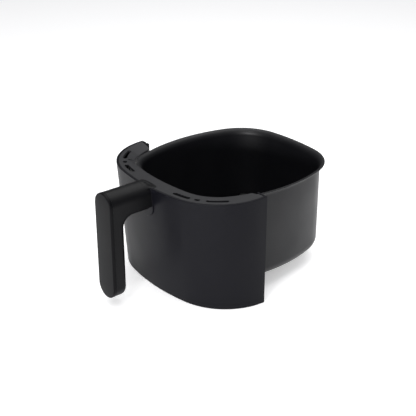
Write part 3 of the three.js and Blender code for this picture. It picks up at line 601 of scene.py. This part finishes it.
# Bezel
# The bezel is a flat moulded plate that closes the gap between fascia and pan. Warm air passes
# through its slots, and a skirt hangs from its inner edge, clear of the pan's rim.
BEZEL_PLATE = 3.6 * MM
LIP_GAP = 3 * MM
LIP_END = 8 * MM
LIP_STEP = 5.5 * MM
LIP_ROUND = 3 * MM
LEFT_CORNER = 5.5 * MM
LEFT_MARGIN = 9 * MM
LEFT_SINK = 4.6 * MM
LEFT_SINK_START = 48 * MM
LEFT_SINK_LENGTH = 52 * MM
LEFT_CLOSE = 1.5 * MM
SKIRT_WALL = 2.2 * MM
SKIRT_EDGE = 0.4 * MM
SKIRT_BOTTOM = FASCIA_TOP - 15 * MM
SLOT_INSET = 11.5 * MM
SLOT_WIDTH = 5.5 * MM
SLOTS = [(43 * MM, 70 * MM), (76 * MM, 83.5 * MM), (91 * MM, 120 * MM)]
SIDE_SLOT_ALONG = 89 * MM
SIDE_SLOT_INSET = (15.5 * MM, 21.5 * MM)
SIDE_SLOT_WIDTH = 2.5 * MM
BEZEL_EDGE = 0.45 * MM
BEZEL_GRAIN = 0.8 * MM
bezel_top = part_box("bezel")[1].z
bezel_left = FASCIA_END_LEFT - FASCIA_FLANGE - GAP
bezel_right = FASCIA_END_RIGHT - FASCIA_FLANGE - GAP


def pan_front(offset, left_y, right_y, count=200):
    """The front part of the pan's outline, moved out by offset, from a y on the left to one on the right."""
    line = pan_outline(offset, 1200)
    line = np.roll(line, -int(np.argmax(line[:, 1])), axis=0)
    left_part = line[line[:, 0] < 0]
    right_part = line[line[:, 0] >= 0]
    left_part = left_part[left_part[:, 1] < left_y]
    right_part = right_part[right_part[:, 1] < right_y]
    return resample(np.concatenate([left_part, right_part]), count)


def flat_piece(name, outlines, low, high, edge):
    """A flat plate inside outlines, the first round it and the rest its holes, with softened edges."""
    curve = bpy.data.curves.new(name, "CURVE")
    curve.dimensions = "2D"
    curve.fill_mode = "BOTH"
    curve.extrude = (high - low) / 2 - edge
    curve.bevel_depth = edge
    curve.bevel_resolution = 2
    curve.offset = -edge
    for outline in outlines:
        spline = curve.splines.new("POLY")
        spline.points.add(len(outline) - 1)
        for point, place in zip(spline.points, outline):
            point.co = (place[0], place[1], 0, 1)
        spline.use_cyclic_u = True
    shape = bpy.data.objects.new(name + "_shape", curve)
    bpy.context.scene.collection.objects.link(shape)
    bpy.context.view_layer.update()
    mesh = bpy.data.meshes.new_from_object(shape.evaluated_get(bpy.context.evaluated_depsgraph_get()))
    vertices = np.array([v.co for v in mesh.vertices]) + [0, 0, (low + high) / 2]
    faces = [tuple(face.vertices) for face in mesh.polygons]
    bpy.data.objects.remove(shape)
    return make_mesh(name, vertices, faces)


def slot_place(side, distance):
    """A point on the slots' path and the direction across it, at a distance from the middle."""
    bow = FASCIA_BOW - SLOT_INSET
    corner = FASCIA_CORNER - SLOT_INSET
    turn = math.atan2(CORNER_X, BOW_CENTRE_Y - CORNER_Y)
    if distance < bow * turn:
        centre, radius, angle = (0, BOW_CENTRE_Y), bow, distance / bow
    else:
        centre, radius, angle = (CORNER_X, CORNER_Y), corner, turn + (distance - bow * turn) / corner
    across = np.array([side * math.sin(angle), -math.cos(angle)])
    return np.array([side * centre[0], centre[1]]) + radius * across, across


def slot_outline(side, start, end):
    """A slot with round ends that follows the bezel between two distances from its middle."""
    half = SLOT_WIDTH / 2
    edges = ([], [])
    for distance in np.linspace(start + half, end - half, 12):
        place, across = slot_place(side, distance)
        edges[0].append(place + across * half)
        edges[1].append(place - across * half)

    def round_end(distance, turn):
        """The half circle at a slot's end, from one of its edges over to the other."""
        place, across = slot_place(side, distance)
        forward = np.array([-across[1], across[0]]) * side
        angles = np.linspace(0, math.pi, 9)[1:-1]
        return [place + turn * half * (math.cos(t) * across + math.sin(t) * forward) for t in angles]

    far_end = round_end(end - half, 1)
    near_end = round_end(start + half, -1)
    return np.array(edges[0] + far_end + edges[1][::-1] + near_end)


def side_slot_outline():
    """The short slot across the bezel's left side."""
    place, outwards = slot_place(-1, SIDE_SLOT_ALONG)
    half = SIDE_SLOT_WIDTH / 2
    sideways = np.array([-outwards[1], outwards[0]])
    near, far = (place - outwards * (inset - SLOT_INSET) for inset in SIDE_SLOT_INSET)
    turns = np.linspace(-math.pi / 2, math.pi / 2, 9)
    half_circle = np.array([half * (math.cos(t) * outwards + math.sin(t) * sideways) for t in turns])
    return np.concatenate([near - outwards * half + half_circle, far + outwards * half - half_circle])


def bezel_outline():
    """The plate's outline: the fascia's line, then back along the pan, stepped in near its right end
    and rounded at its left one."""
    edge = FASCIA_WALL + GAP
    outer = fascia_line(edge, FASCIA_TOP, FASCIA_FLANGE + GAP, 260)[:, :2]
    inner = pan_front(LIP_GAP, bezel_left, bezel_right, 700)
    past_lip = np.clip((inner[:, 1] - FASCIA_END_RIGHT + LIP_END) / LIP_ROUND, 0, 1)
    inner[:, 0] += np.where(inner[:, 0] > 0, LIP_STEP * past_lip * past_lip * (3 - 2 * past_lip), 0)
    past_corner = np.clip((inner[:, 1] - bezel_left) / LEFT_CORNER + 1, 0, 1)
    inner[:, 0] -= np.where(inner[:, 0] < 0, LEFT_CORNER * (1 - np.sqrt(1 - past_corner ** 2)), 0)
    return np.concatenate([outer, inner[::-1]])


def sink_left_margin(plate):
    """Bends the plate's inner margin down and in to the pan's rim along its left side."""
    rim = pan_outline(0, 720)
    for vertex in plate.data.vertices:
        place = np.array(vertex.co[:2])
        to_rim = rim[np.argmin(np.linalg.norm(rim - place, axis=1))] - place
        gap = np.linalg.norm(to_rim)
        inner = np.clip(1 - (gap - LIP_GAP) / LEFT_MARGIN, 0, 1)
        left = np.clip((-place[0] - LEFT_SINK_START) / LEFT_SINK_LENGTH, 0, 1)
        share = inner * left * left * (3 - 2 * left)
        vertex.co.x += to_rim[0] / gap * LEFT_CLOSE * share
        vertex.co.y += to_rim[1] / gap * LEFT_CLOSE * share
        vertex.co.z -= LEFT_SINK * share


slots = [slot_outline(side, start, end) for side in (-1, 1) for start, end in SLOTS]
bezel_outlines = [bezel_outline(), side_slot_outline()] + slots
bezel = flat_piece("vent_bezel", bezel_outlines, bezel_top - BEZEL_PLATE, bezel_top, BEZEL_EDGE)
skirt_high = bezel_top - BEZEL_PLATE / 2
skirt_section = rounded_box_section(0, SKIRT_WALL, SKIRT_BOTTOM, skirt_high, SKIRT_EDGE, 3)
skirt_lines = [
    at_height(pan_front(LIP_GAP + across, FASCIA_END_LEFT - LIP_END, FASCIA_END_RIGHT - LIP_END), z)
    for across, z in skirt_section
]
skirt = make_mesh("bezel_skirt", *skin(np.stack(skirt_lines, axis=1)))
combine(bezel, [skirt], "UNION")
sink_left_margin(bezel)
bezel_plastic = moulded_plastic("matt_abs_bezel", "#1e1e21", BEZEL_GRAIN, 0.5, 0.3, 1.4)
fit_piece(bezel, bezel_plastic, "drawer", "bezel_plastic", "bezel")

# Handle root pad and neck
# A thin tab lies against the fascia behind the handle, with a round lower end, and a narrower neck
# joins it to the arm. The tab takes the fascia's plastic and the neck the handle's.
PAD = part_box("handle_root_pad")
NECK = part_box("handle_neck_collar")
PAD_THICKNESS = 1.1 * MM
PAD_EDGE = 0.5 * MM
PAD_RING_INSETS = (3 * MM, 7 * MM, 11 * MM, 15 * MM)
NECK_INSET = 1.2 * MM
NECK_EDGE = 0.4 * MM
HANDLE_GRAIN = 0.6 * MM
ARM_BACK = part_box("handle_neck_collar")[0].y - GAP


def fascia_face(x, z, offset):
    """y of the fascia's front at a point, moved out towards the user by offset."""
    return BOW_CENTRE_Y - np.sqrt((FASCIA_BOW + offset) ** 2 - x ** 2) + lean_at(z)


pad_radius = PAD[1].x
pad_centre_z = PAD[0].z + pad_radius


def tab_line(inset):
    """The tab's outline seen from the front, moved in by inset."""
    low = arc(0, pad_centre_z, pad_radius - inset, math.pi, 2 * math.pi, step=MM)
    top = PAD[1].z - inset
    line = np.concatenate([low, [[pad_radius - inset, top], [inset - pad_radius, top]]])
    return resample(line, 120, closed=True)


def on_fascia(line, offset):
    """A line drawn from the front, laid on the fascia's face at an offset."""
    return np.stack([line[:, 0], fascia_face(line[:, 0], line[:, 1], offset), line[:, 1]], axis=1)


pad_face = GAP + PAD_THICKNESS
pad_rings = [on_fascia(tab_line(0), GAP)]
for t in np.linspace(0, math.pi / 2, 4):
    edge_inset = PAD_EDGE * (1 - math.cos(t))
    edge_drop = PAD_EDGE * (1 - math.sin(t))
    pad_rings.append(on_fascia(tab_line(edge_inset), pad_face - edge_drop))
pad_rings += [on_fascia(tab_line(inset), pad_face) for inset in PAD_RING_INSETS]
pad = make_mesh("handle_tab", *skin(pad_rings))
combine(pad, [core_room("pad_room")], "DIFFERENCE")
handle_plastic = moulded_plastic("satin_abs_handle", "#09090b", HANDLE_GRAIN, 0.4, 0.12, 1.24)
fit_piece(pad, shell_plastic, "drawer", "fascia_plastic", "handle_root_pad")

ARM_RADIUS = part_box("handle_front_cover")[1].x
ARM_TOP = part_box("handle_front_cover")[1].z
ARM_HEIGHT = 34.6 * MM
ARM_UNDERSIDE = ARM_TOP - ARM_HEIGHT
ARM_EDGE = 5 * MM


def arm_line(inset):
    """The arm's section, arched on top and with two round lower edges, moved in by inset."""
    half = ARM_RADIUS - inset
    low = ARM_UNDERSIDE + inset
    edge = ARM_EDGE - inset
    line = np.concatenate([
        arc(edge - half, low + edge, edge, math.pi, 1.5 * math.pi, step=0.5 * MM),
        arc(half - edge, low + edge, edge, 1.5 * math.pi, 2 * math.pi, step=0.5 * MM),
        arc(0, ARM_TOP - ARM_RADIUS, half, 0, math.pi, step=0.5 * MM),
    ])
    return resample(line, 140, closed=True)


def neck_ring(inset, y):
    """The neck's section at a depth, cut flat below the saddle."""
    line = arm_line(inset)
    return np.stack([line[:, 0], np.full(len(line), y), np.minimum(line[:, 1], FASCIA_TOP)], axis=1)


neck_back = neck_ring(NECK_INSET, 0)
neck_back[:, 1] = fascia_face(neck_back[:, 0], neck_back[:, 2], pad_face + GAP)
neck_rings = [
    neck_ring(NECK_INSET + NECK_EDGE, NECK[0].y),
    neck_ring(NECK_INSET, NECK[0].y + NECK_EDGE),
    neck_back,
]
neck = make_mesh("handle_neck", *skin(neck_rings))
combine(neck, [core_room("neck_room")], "DIFFERENCE")
fit_piece(neck, handle_plastic, "drawer", "handle_plastic", "handle_neck_collar")

# Handle body
# The body is an L-shaped moulding: an arched arm runs forward from the fascia, turns down in a wide
# bend, and carries the grip. Behind, a saddle runs its arch out on the bezel.
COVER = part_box("handle_front_cover")
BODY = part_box("handle_body")
HANDLE_FRONT = COVER[0].y
HANDLE_TOP = COVER[1].z
HANDLE_BOTTOM = COVER[0].z
GRIP_RADIUS = COVER[1].x
GRIP_THICKNESS = 22 * MM
GRIP_BACK = HANDLE_FRONT + GRIP_THICKNESS
BODY_FRONT = BODY[0].y
ARM_INNER_RADIUS = 14 * MM
SADDLE_REACH = BODY[1].y - ARM_BACK
SADDLE_EDGE = 0.06 * MM
SADDLE_FLARE = 0.35  # the share by which it widens on the bezel
SADDLE_LOW = FASCIA_TOP + 0.04 * MM  # it rests on the fascia's top edge
BODY_OVERRUN = 3 * MM  # the rough body runs on past its flat ends, which are cut square afterwards
BODY_SETBACK = 0.15 * MM  # the body stays a hair inside the cap's outline
BODY_EDGE = 6 * MM
VOXEL = 1.1 * MM
DRAWING_PASSES = 12
LONGEST_MOVE = 3 * MM
SLOPE_STEP = 0.02 * MM
LEAST_SLOPE = 0.05  # keeps the moves finite where the formula's creases cancel out
HANDLE_WALL = 3.2 * MM
POCKET_BEHIND_CORE = 7.5 * MM


def round_join(a, b, radius):
    """Distance to two shapes joined with a fillet."""
    u = np.maximum(radius - a, 0)
    v = np.maximum(radius - b, 0)
    return np.maximum(radius, np.minimum(a, b)) - np.hypot(u, v)


def round_overlap(a, b, radius):
    """Distance to the overlap of two shapes, with its edge rounded."""
    u = np.maximum(radius + a, 0)
    v = np.maximum(radius + b, 0)
    return np.minimum(-radius, np.maximum(a, b)) + np.hypot(u, v)


def grip_distance(x, z):
    """Distance to the grip's outline seen from the front."""
    low = HANDLE_BOTTOM + GRIP_RADIUS
    high = HANDLE_TOP - GRIP_RADIUS
    return np.hypot(x, z - np.clip(z, low, high)) - (GRIP_RADIUS - BODY_SETBACK)


def handle_distance(points):
    """Distance to the handle body's surface, below zero inside it."""
    x, y, z = points.T
    side = round_join(y - GRIP_BACK, ARM_UNDERSIDE - z, ARM_INNER_RADIUS)
    solid = round_overlap(grip_distance(x, z), side, BODY_EDGE)
    return np.maximum(np.maximum(solid, BODY_FRONT - BODY_OVERRUN - y), y - ARM_BACK - BODY_OVERRUN)


def saddle_ring(y):
    """The saddle's section at a depth: flat below, and above the arm's arch, sinking to the bezel."""
    run_out = np.clip((y - ARM_BACK) / SADDLE_REACH, 0, 1)
    height = (HANDLE_TOP - SADDLE_LOW - SADDLE_EDGE) * (1 + math.cos(math.pi * run_out)) / 2
    on_bezel = np.clip((y - FASCIA_FRONT) / (ARM_BACK + SADDLE_REACH - FASCIA_FRONT), 0, 1)
    arch_low = SADDLE_LOW - (HANDLE_TOP - GRIP_RADIUS)
    half = math.sqrt(GRIP_RADIUS ** 2 - arch_low ** 2)
    place = np.sin(np.linspace(-math.pi / 2, math.pi / 2, 31))
    arch = (np.sqrt(GRIP_RADIUS ** 2 - (half * place) ** 2) - arch_low) / (GRIP_RADIUS - arch_low)
    bell = np.cos(place * math.pi / 2) ** 2
    bell_share = min(1, 1.8 * on_bezel)
    across = half * place * (1 + SADDLE_FLARE * on_bezel) * math.sqrt(max(1 - on_bezel ** 6, 0.004))
    top = SADDLE_LOW + SADDLE_EDGE + height * (arch + (bell - arch) * bell_share)
    below = across[::-1]
    x = np.concatenate([across, below])
    z = np.concatenate([top, np.full(len(below), SADDLE_LOW)])
    return np.stack([x, np.full(len(x), y), z], axis=1)


def shape_handle_body():
    """The body's surface: a rough closed mesh, remeshed evenly and drawn onto the true shape."""
    width = (-GRIP_RADIUS, GRIP_RADIUS)
    front = BODY_FRONT - BODY_OVERRUN
    grip = block("grip", width, (front, GRIP_BACK), (HANDLE_BOTTOM, HANDLE_TOP))
    arm = block("arm", width, (front, ARM_BACK + BODY_OVERRUN), (ARM_UNDERSIDE, HANDLE_TOP))
    combine(grip, [arm], "UNION")
    remesh = grip.modifiers.new("even", "REMESH")
    remesh.mode = "VOXEL"
    remesh.voxel_size = VOXEL
    bpy.context.view_layer.update()
    mesh = bpy.data.meshes.new_from_object(grip.evaluated_get(bpy.context.evaluated_depsgraph_get()))
    bpy.data.objects.remove(grip)
    points = np.array([v.co for v in mesh.vertices])
    faces = [tuple(face.vertices) for face in mesh.polygons]
    for _ in range(DRAWING_PASSES):
        distance = handle_distance(points)
        slope = np.stack([
            (handle_distance(points + axis) - handle_distance(points - axis)) / (2 * SLOPE_STEP)
            for axis in np.eye(3) * SLOPE_STEP
        ], axis=1)
        size = np.maximum((slope ** 2).sum(axis=1, keepdims=True), LEAST_SLOPE)
        points = points - np.clip(distance, -LONGEST_MOVE, LONGEST_MOVE)[:, None] * slope / size
    return make_mesh("handle_moulding", points, faces)


def pill_line(inset, y):
    """The grip's outline moved in by inset, at a depth."""
    low = HANDLE_BOTTOM + GRIP_RADIUS
    high = HANDLE_TOP - GRIP_RADIUS
    radius = GRIP_RADIUS - inset
    line = np.concatenate([arc(0, low, radius, -math.pi, 0), arc(0, high, radius, 0, math.pi)])
    line = resample(line, 160, closed=True)
    return np.stack([line[:, 0], np.full(len(line), y), line[:, 1]], axis=1)


body = shape_handle_body()
all_width = (-2 * GRIP_RADIUS, 2 * GRIP_RADIUS)
all_height = (HANDLE_BOTTOM - CUT_OVERRUN, HANDLE_TOP + CUT_OVERRUN)
squared_front = block("squared_front", all_width, (BODY_FRONT - 3 * BODY_OVERRUN, COVER[1].y), all_height)
squared_back = block("squared_back", all_width, (ARM_BACK, ARM_BACK + 3 * BODY_OVERRUN), all_height)
combine(body, [squared_front, squared_back], "DIFFERENCE")
saddle_places = [ARM_BACK - BODY_OVERRUN, *np.linspace(ARM_BACK, ARM_BACK + SADDLE_REACH, 24)]
saddle = make_mesh("saddle", *skin([saddle_ring(y) for y in saddle_places]))
combine(body, [saddle], "UNION")
pocket_rings = [pill_line(HANDLE_WALL, y) for y in (BODY_FRONT - MM, CORE_FRONT + POCKET_BEHIND_CORE)]
combine(body, [make_mesh("pocket", *skin(pocket_rings)), core_room("arm_room")], "DIFFERENCE")
fit_piece(body, handle_plastic, "drawer", "handle_plastic", "handle_body", crease=50)

# Handle front cover
# A pill-shaped cap snaps onto the front of the grip and hides its screws. It is slightly domed,
# with a narrow bevel all round that catches the light.
COVER_BEVEL = 1.3 * MM
COVER_DOME = 0.5 * MM
COVER_BACK_EDGE = 0.2 * MM
COVER_CENTRE = 0.4 * MM  # half the width of the innermost ring

cover_rings = [pill_line(COVER_BACK_EDGE, COVER[1].y), pill_line(0, COVER[1].y - COVER_BACK_EDGE)]
edge_y = HANDLE_FRONT + COVER_DOME + COVER_BEVEL
for t in np.linspace(0, math.pi / 2, 6):
    cover_rings.append(pill_line(COVER_BEVEL * (1 - math.cos(t)), edge_y - COVER_BEVEL * math.sin(t)))
for inset in np.linspace(COVER_BEVEL, GRIP_RADIUS - COVER_CENTRE, 9)[1:]:
    rise = 1 - ((GRIP_RADIUS - inset) / (GRIP_RADIUS - COVER_BEVEL)) ** 2
    cover_rings.append(pill_line(inset, HANDLE_FRONT + COVER_DOME * (1 - rise)))
front_cover = make_mesh("handle_cap", *skin(cover_rings))
cap_plastic = moulded_plastic("satin_abs_cap", "#08080a", HANDLE_GRAIN, 0.4, 0.08, 1.18)
fit_piece(front_cover, cap_plastic, "drawer", "handle_plastic", "handle_front_cover", crease=40)

# Crisper plate
# The food stands on a loose steel plate, pressed with a turned-down flange, punched all over with
# round holes and one larger hole for a fingertip, and coated like the pan.
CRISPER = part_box("crisper_plate")
CRISPER_EDGE = PAN_HALF_WIDTH - CRISPER[1].x
CRISPER_SHEET = 1.5 * MM
FACE_EDGE = 0.4 * MM
FLANGE_EDGE = 0.3 * MM
FLANGE_PROUD = 0.06 * MM  # the fold stands a hair outside the face's edge
SLIVER = 0.02 * MM
TURNED_STEPS = 48
HOLE_RADIUS = 4 * MM
HOLE_PITCH = 25 * MM
LIFT_HOLE_RADIUS = 13 * MM
HOLE_MARGIN = 13 * MM
HOLE_FIELD_POWER = 2.6
FOOT_RADIUS = 7 * MM
FOOT_INSET = RIM_OVERHANG + PAN_SHEET + 0.5 * MM + FOOT_RADIUS


def corner_place(side_x, side_y, inset):
    """A point on the diagonal of one of the pan's corners, in from the rim's edge."""
    corner = PAN_BACK_CORNER if side_y > 0 else PAN_FRONT_CORNER
    centre = pan_corner_centre(corner)
    return (centre + (corner - inset) * math.sqrt(0.5)) * [side_x, side_y]


def hole_circle(x, y, radius, count):
    """A punched hole's edge. Each hole starts at its own angle, so that no three points line up."""
    start = (x + 2 * y) / HOLE_PITCH
    turn = start + np.linspace(0, 2 * math.pi, count, endpoint=False)
    return np.stack([x + radius * np.cos(turn), y + radius * np.sin(turn)], axis=1)


def crisper_holes():
    """The holes' edges: staggered rows that fill the plate but leave its edge and its middle whole."""
    reach_x = PAN_HALF_WIDTH - CRISPER_EDGE - HOLE_MARGIN
    reach_y = PAN_HALF_DEPTH - CRISPER_EDGE - HOLE_MARGIN
    row_pitch = HOLE_PITCH * math.sin(math.pi / 3)
    rows = int(reach_y / row_pitch)
    columns = int(reach_x / HOLE_PITCH)
    holes = [hole_circle(0, 0, LIFT_HOLE_RADIUS, 64)]
    for row in range(-rows, rows + 1):
        for column in range(-columns, columns + 1):
            x = (column + (0.5 if row % 2 else 0)) * HOLE_PITCH
            y = row * row_pitch
            far = (abs(x) / reach_x) ** HOLE_FIELD_POWER + (abs(y) / reach_y) ** HOLE_FIELD_POWER
            if far < 1 and math.hypot(x, y) > LIFT_HOLE_RADIUS + HOLE_MARGIN:
                holes.append(hole_circle(x, y, HOLE_RADIUS, 28))
    return holes


CORNERS = [(1, 1), (-1, 1), (-1, -1), (1, -1)]
crisper_top = CRISPER[1].z
plate = flat_piece(
    "crisper_sheet",
    [pan_outline(-CRISPER_EDGE)] + crisper_holes(),
    crisper_top - CRISPER_SHEET, crisper_top, FACE_EDGE,
)
flange_top = crisper_top - FACE_EDGE
flange_section = rounded_box_section(0, CRISPER_SHEET, CRISPER[0].z, flange_top, FLANGE_EDGE, 3)
flange_lines = [
    at_height(pan_outline(FLANGE_PROUD - CRISPER_EDGE - across), z)
    for across, z in flange_section
]
flange = make_mesh("crisper_flange", *skin(np.stack(flange_lines, axis=1), closed_along=True))
combine(plate, [flange], "UNION")


def upright(name, centre, profile):
    """A closed turned solid round an upright line, from a profile of [radius, height]."""
    turn = np.linspace(0, 2 * math.pi, TURNED_STEPS, endpoint=False)
    circle = np.stack([np.cos(turn), np.sin(turn)], axis=1)
    rings = [at_height(centre + radius * circle, z) for radius, z in profile]
    return make_mesh(name, *skin(rings))


def close_cut_edges(piece):
    """Welds the slivers that a cut leaves along its edge."""
    build = bmesh.new()
    build.from_mesh(piece.data)
    bmesh.ops.remove_doubles(build, verts=build.verts, dist=SLIVER)
    bmesh.ops.dissolve_degenerate(build, edges=build.edges, dist=SLIVER)
    bmesh.ops.triangulate(build, faces=build.faces)
    build.to_mesh(piece.data)
    build.free()


notches = []
for index, (side_x, side_y) in enumerate(CORNERS):
    notch = [(FOOT_RADIUS + GAP, z) for z in (CRISPER[0].z - CUT_OVERRUN, crisper_top + CUT_OVERRUN)]
    notches.append(upright(f"notch_{index}", corner_place(side_x, side_y, FOOT_INSET), notch))
combine(plate, notches, "DIFFERENCE")
close_cut_edges(plate)
plate_coat = non_stick_coat("non_stick_plate_coat", "#141416", "#202024", 0.38)
fit_piece(plate, plate_coat, "crisper", "non_stick_plate", "crisper_plate")

# Crisper feet
# A silicone grommet is pressed into each corner notch of the plate. Its bead keeps the plate off the
# pan's wall, and its leg stands on the pan's floor.
GROMMET_HEIGHT = 9.7 * MM  # below the plate's face
GROMMET_EDGE = 1.6 * MM
LEG_RADIUS = 5.5 * MM
LEG_OFFSET = 10.8 * MM
LEG_EDGE = 0.8 * MM


def silicone_rubber():
    """Moulded silicone: a soft matt black that takes dust, so its sheen is broad and uneven."""
    dust_size = 1.5 * MM
    dust_depth = 0.04 * MM
    material, tree, shader, place = new_finish("moulded_silicone")
    dust = add_node(tree, "ShaderNodeTexNoise", {"Scale": 1 / dust_size, "Detail": 3.0}, {"Vector": place})
    shade = add_node(
        tree, "ShaderNodeMapRange", {"From Min": 0.35, "From Max": 0.7, "To Min": 0.55, "To Max": 0.75},
        {"Value": dust.outputs["Fac"]},
    )
    bump = add_node(
        tree, "ShaderNodeBump", {"Strength": 0.2, "Distance": dust_depth}, {"Height": dust.outputs["Fac"]},
    )
    tree.links.new(shade.outputs["Result"], shader.inputs["Roughness"])
    tree.links.new(bump.outputs["Normal"], shader.inputs["Normal"])
    shader.inputs["Base Color"].default_value = linear("#151516")
    shader.inputs["IOR"].default_value = 1.41
    return material


def bead_profile(radius, low, high, edge):
    """A post's profile with both ends rounded."""
    quarter = np.linspace(0, math.pi / 2, 6)
    lower = [(radius - edge + edge * math.sin(t), low + edge - edge * math.cos(t)) for t in quarter]
    upper = [(radius - edge + edge * math.cos(t), high - edge + edge * math.sin(t)) for t in quarter]
    return lower + upper


silicone = silicone_rubber()
for index, (side_x, side_y) in enumerate(CORNERS):
    foot_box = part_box(f"crisper_foot_{index + 1}")
    foot = upright(
        f"silicone_foot_{index + 1}",
        corner_place(side_x, side_y, FOOT_INSET),
        bead_profile(FOOT_RADIUS, crisper_top - GROMMET_HEIGHT, foot_box[1].z, GROMMET_EDGE),
    )
    leg = upright(
        "leg",
        corner_place(side_x, side_y, FOOT_INSET + LEG_OFFSET),
        bead_profile(LEG_RADIUS, foot_box[0].z, crisper_top - CRISPER_SHEET - GAP, LEG_EDGE),
    )
    combine(foot, [leg], "UNION")
    fit_piece(foot, silicone, "crisper", "silicone", f"crisper_foot_{index + 1}")

# Hardware inside
# The bracket, standoffs, handle core, nuts, washers and screws keep their CAD shapes. They are mild
# steel, cut or turned and then plated with black zinc.
def black_zinc_steel():
    """Black zinc on rolled steel: a dark metal with fine lines along the sheet and cloudy plating."""
    line_length = 8 * MM
    line_width = 0.25 * MM
    cloud_size = 6 * MM
    material, tree, shader, place = new_finish("black_zinc_steel")
    stretch = add_node(
        tree, "ShaderNodeMapping",
        {"Scale": (1 / line_length, 1 / line_width, 1 / line_width)},
        {"Vector": place},
    )
    lines = add_node(
        tree, "ShaderNodeTexNoise", {"Scale": 1.0, "Detail": 2.0}, {"Vector": stretch.outputs["Vector"]},
    )
    cloud = add_node(tree, "ShaderNodeTexNoise", {"Scale": 1 / cloud_size, "Detail": 2.0}, {"Vector": place})
    tint = add_node(tree, "ShaderNodeMix", {"data_type": "RGBA"}, {"Factor": cloud.outputs["Fac"]})
    tint.inputs["A"].default_value = linear("#2b2c2f")
    tint.inputs["B"].default_value = linear("#3b3c40")
    gloss = add_node(
        tree, "ShaderNodeMapRange", {"From Min": 0.3, "From Max": 0.7, "To Min": 0.28, "To Max": 0.45},
        {"Value": lines.outputs["Fac"]},
    )
    tree.links.new(tint.outputs["Result"], shader.inputs["Base Color"])
    tree.links.new(gloss.outputs["Result"], shader.inputs["Roughness"])
    shader.inputs["Metallic"].default_value = 0.95
    return material


steel = black_zinc_steel()
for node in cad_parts.values():
    if not node.hide_render:
        node.data.materials.clear()
        node.data.materials.append(steel)
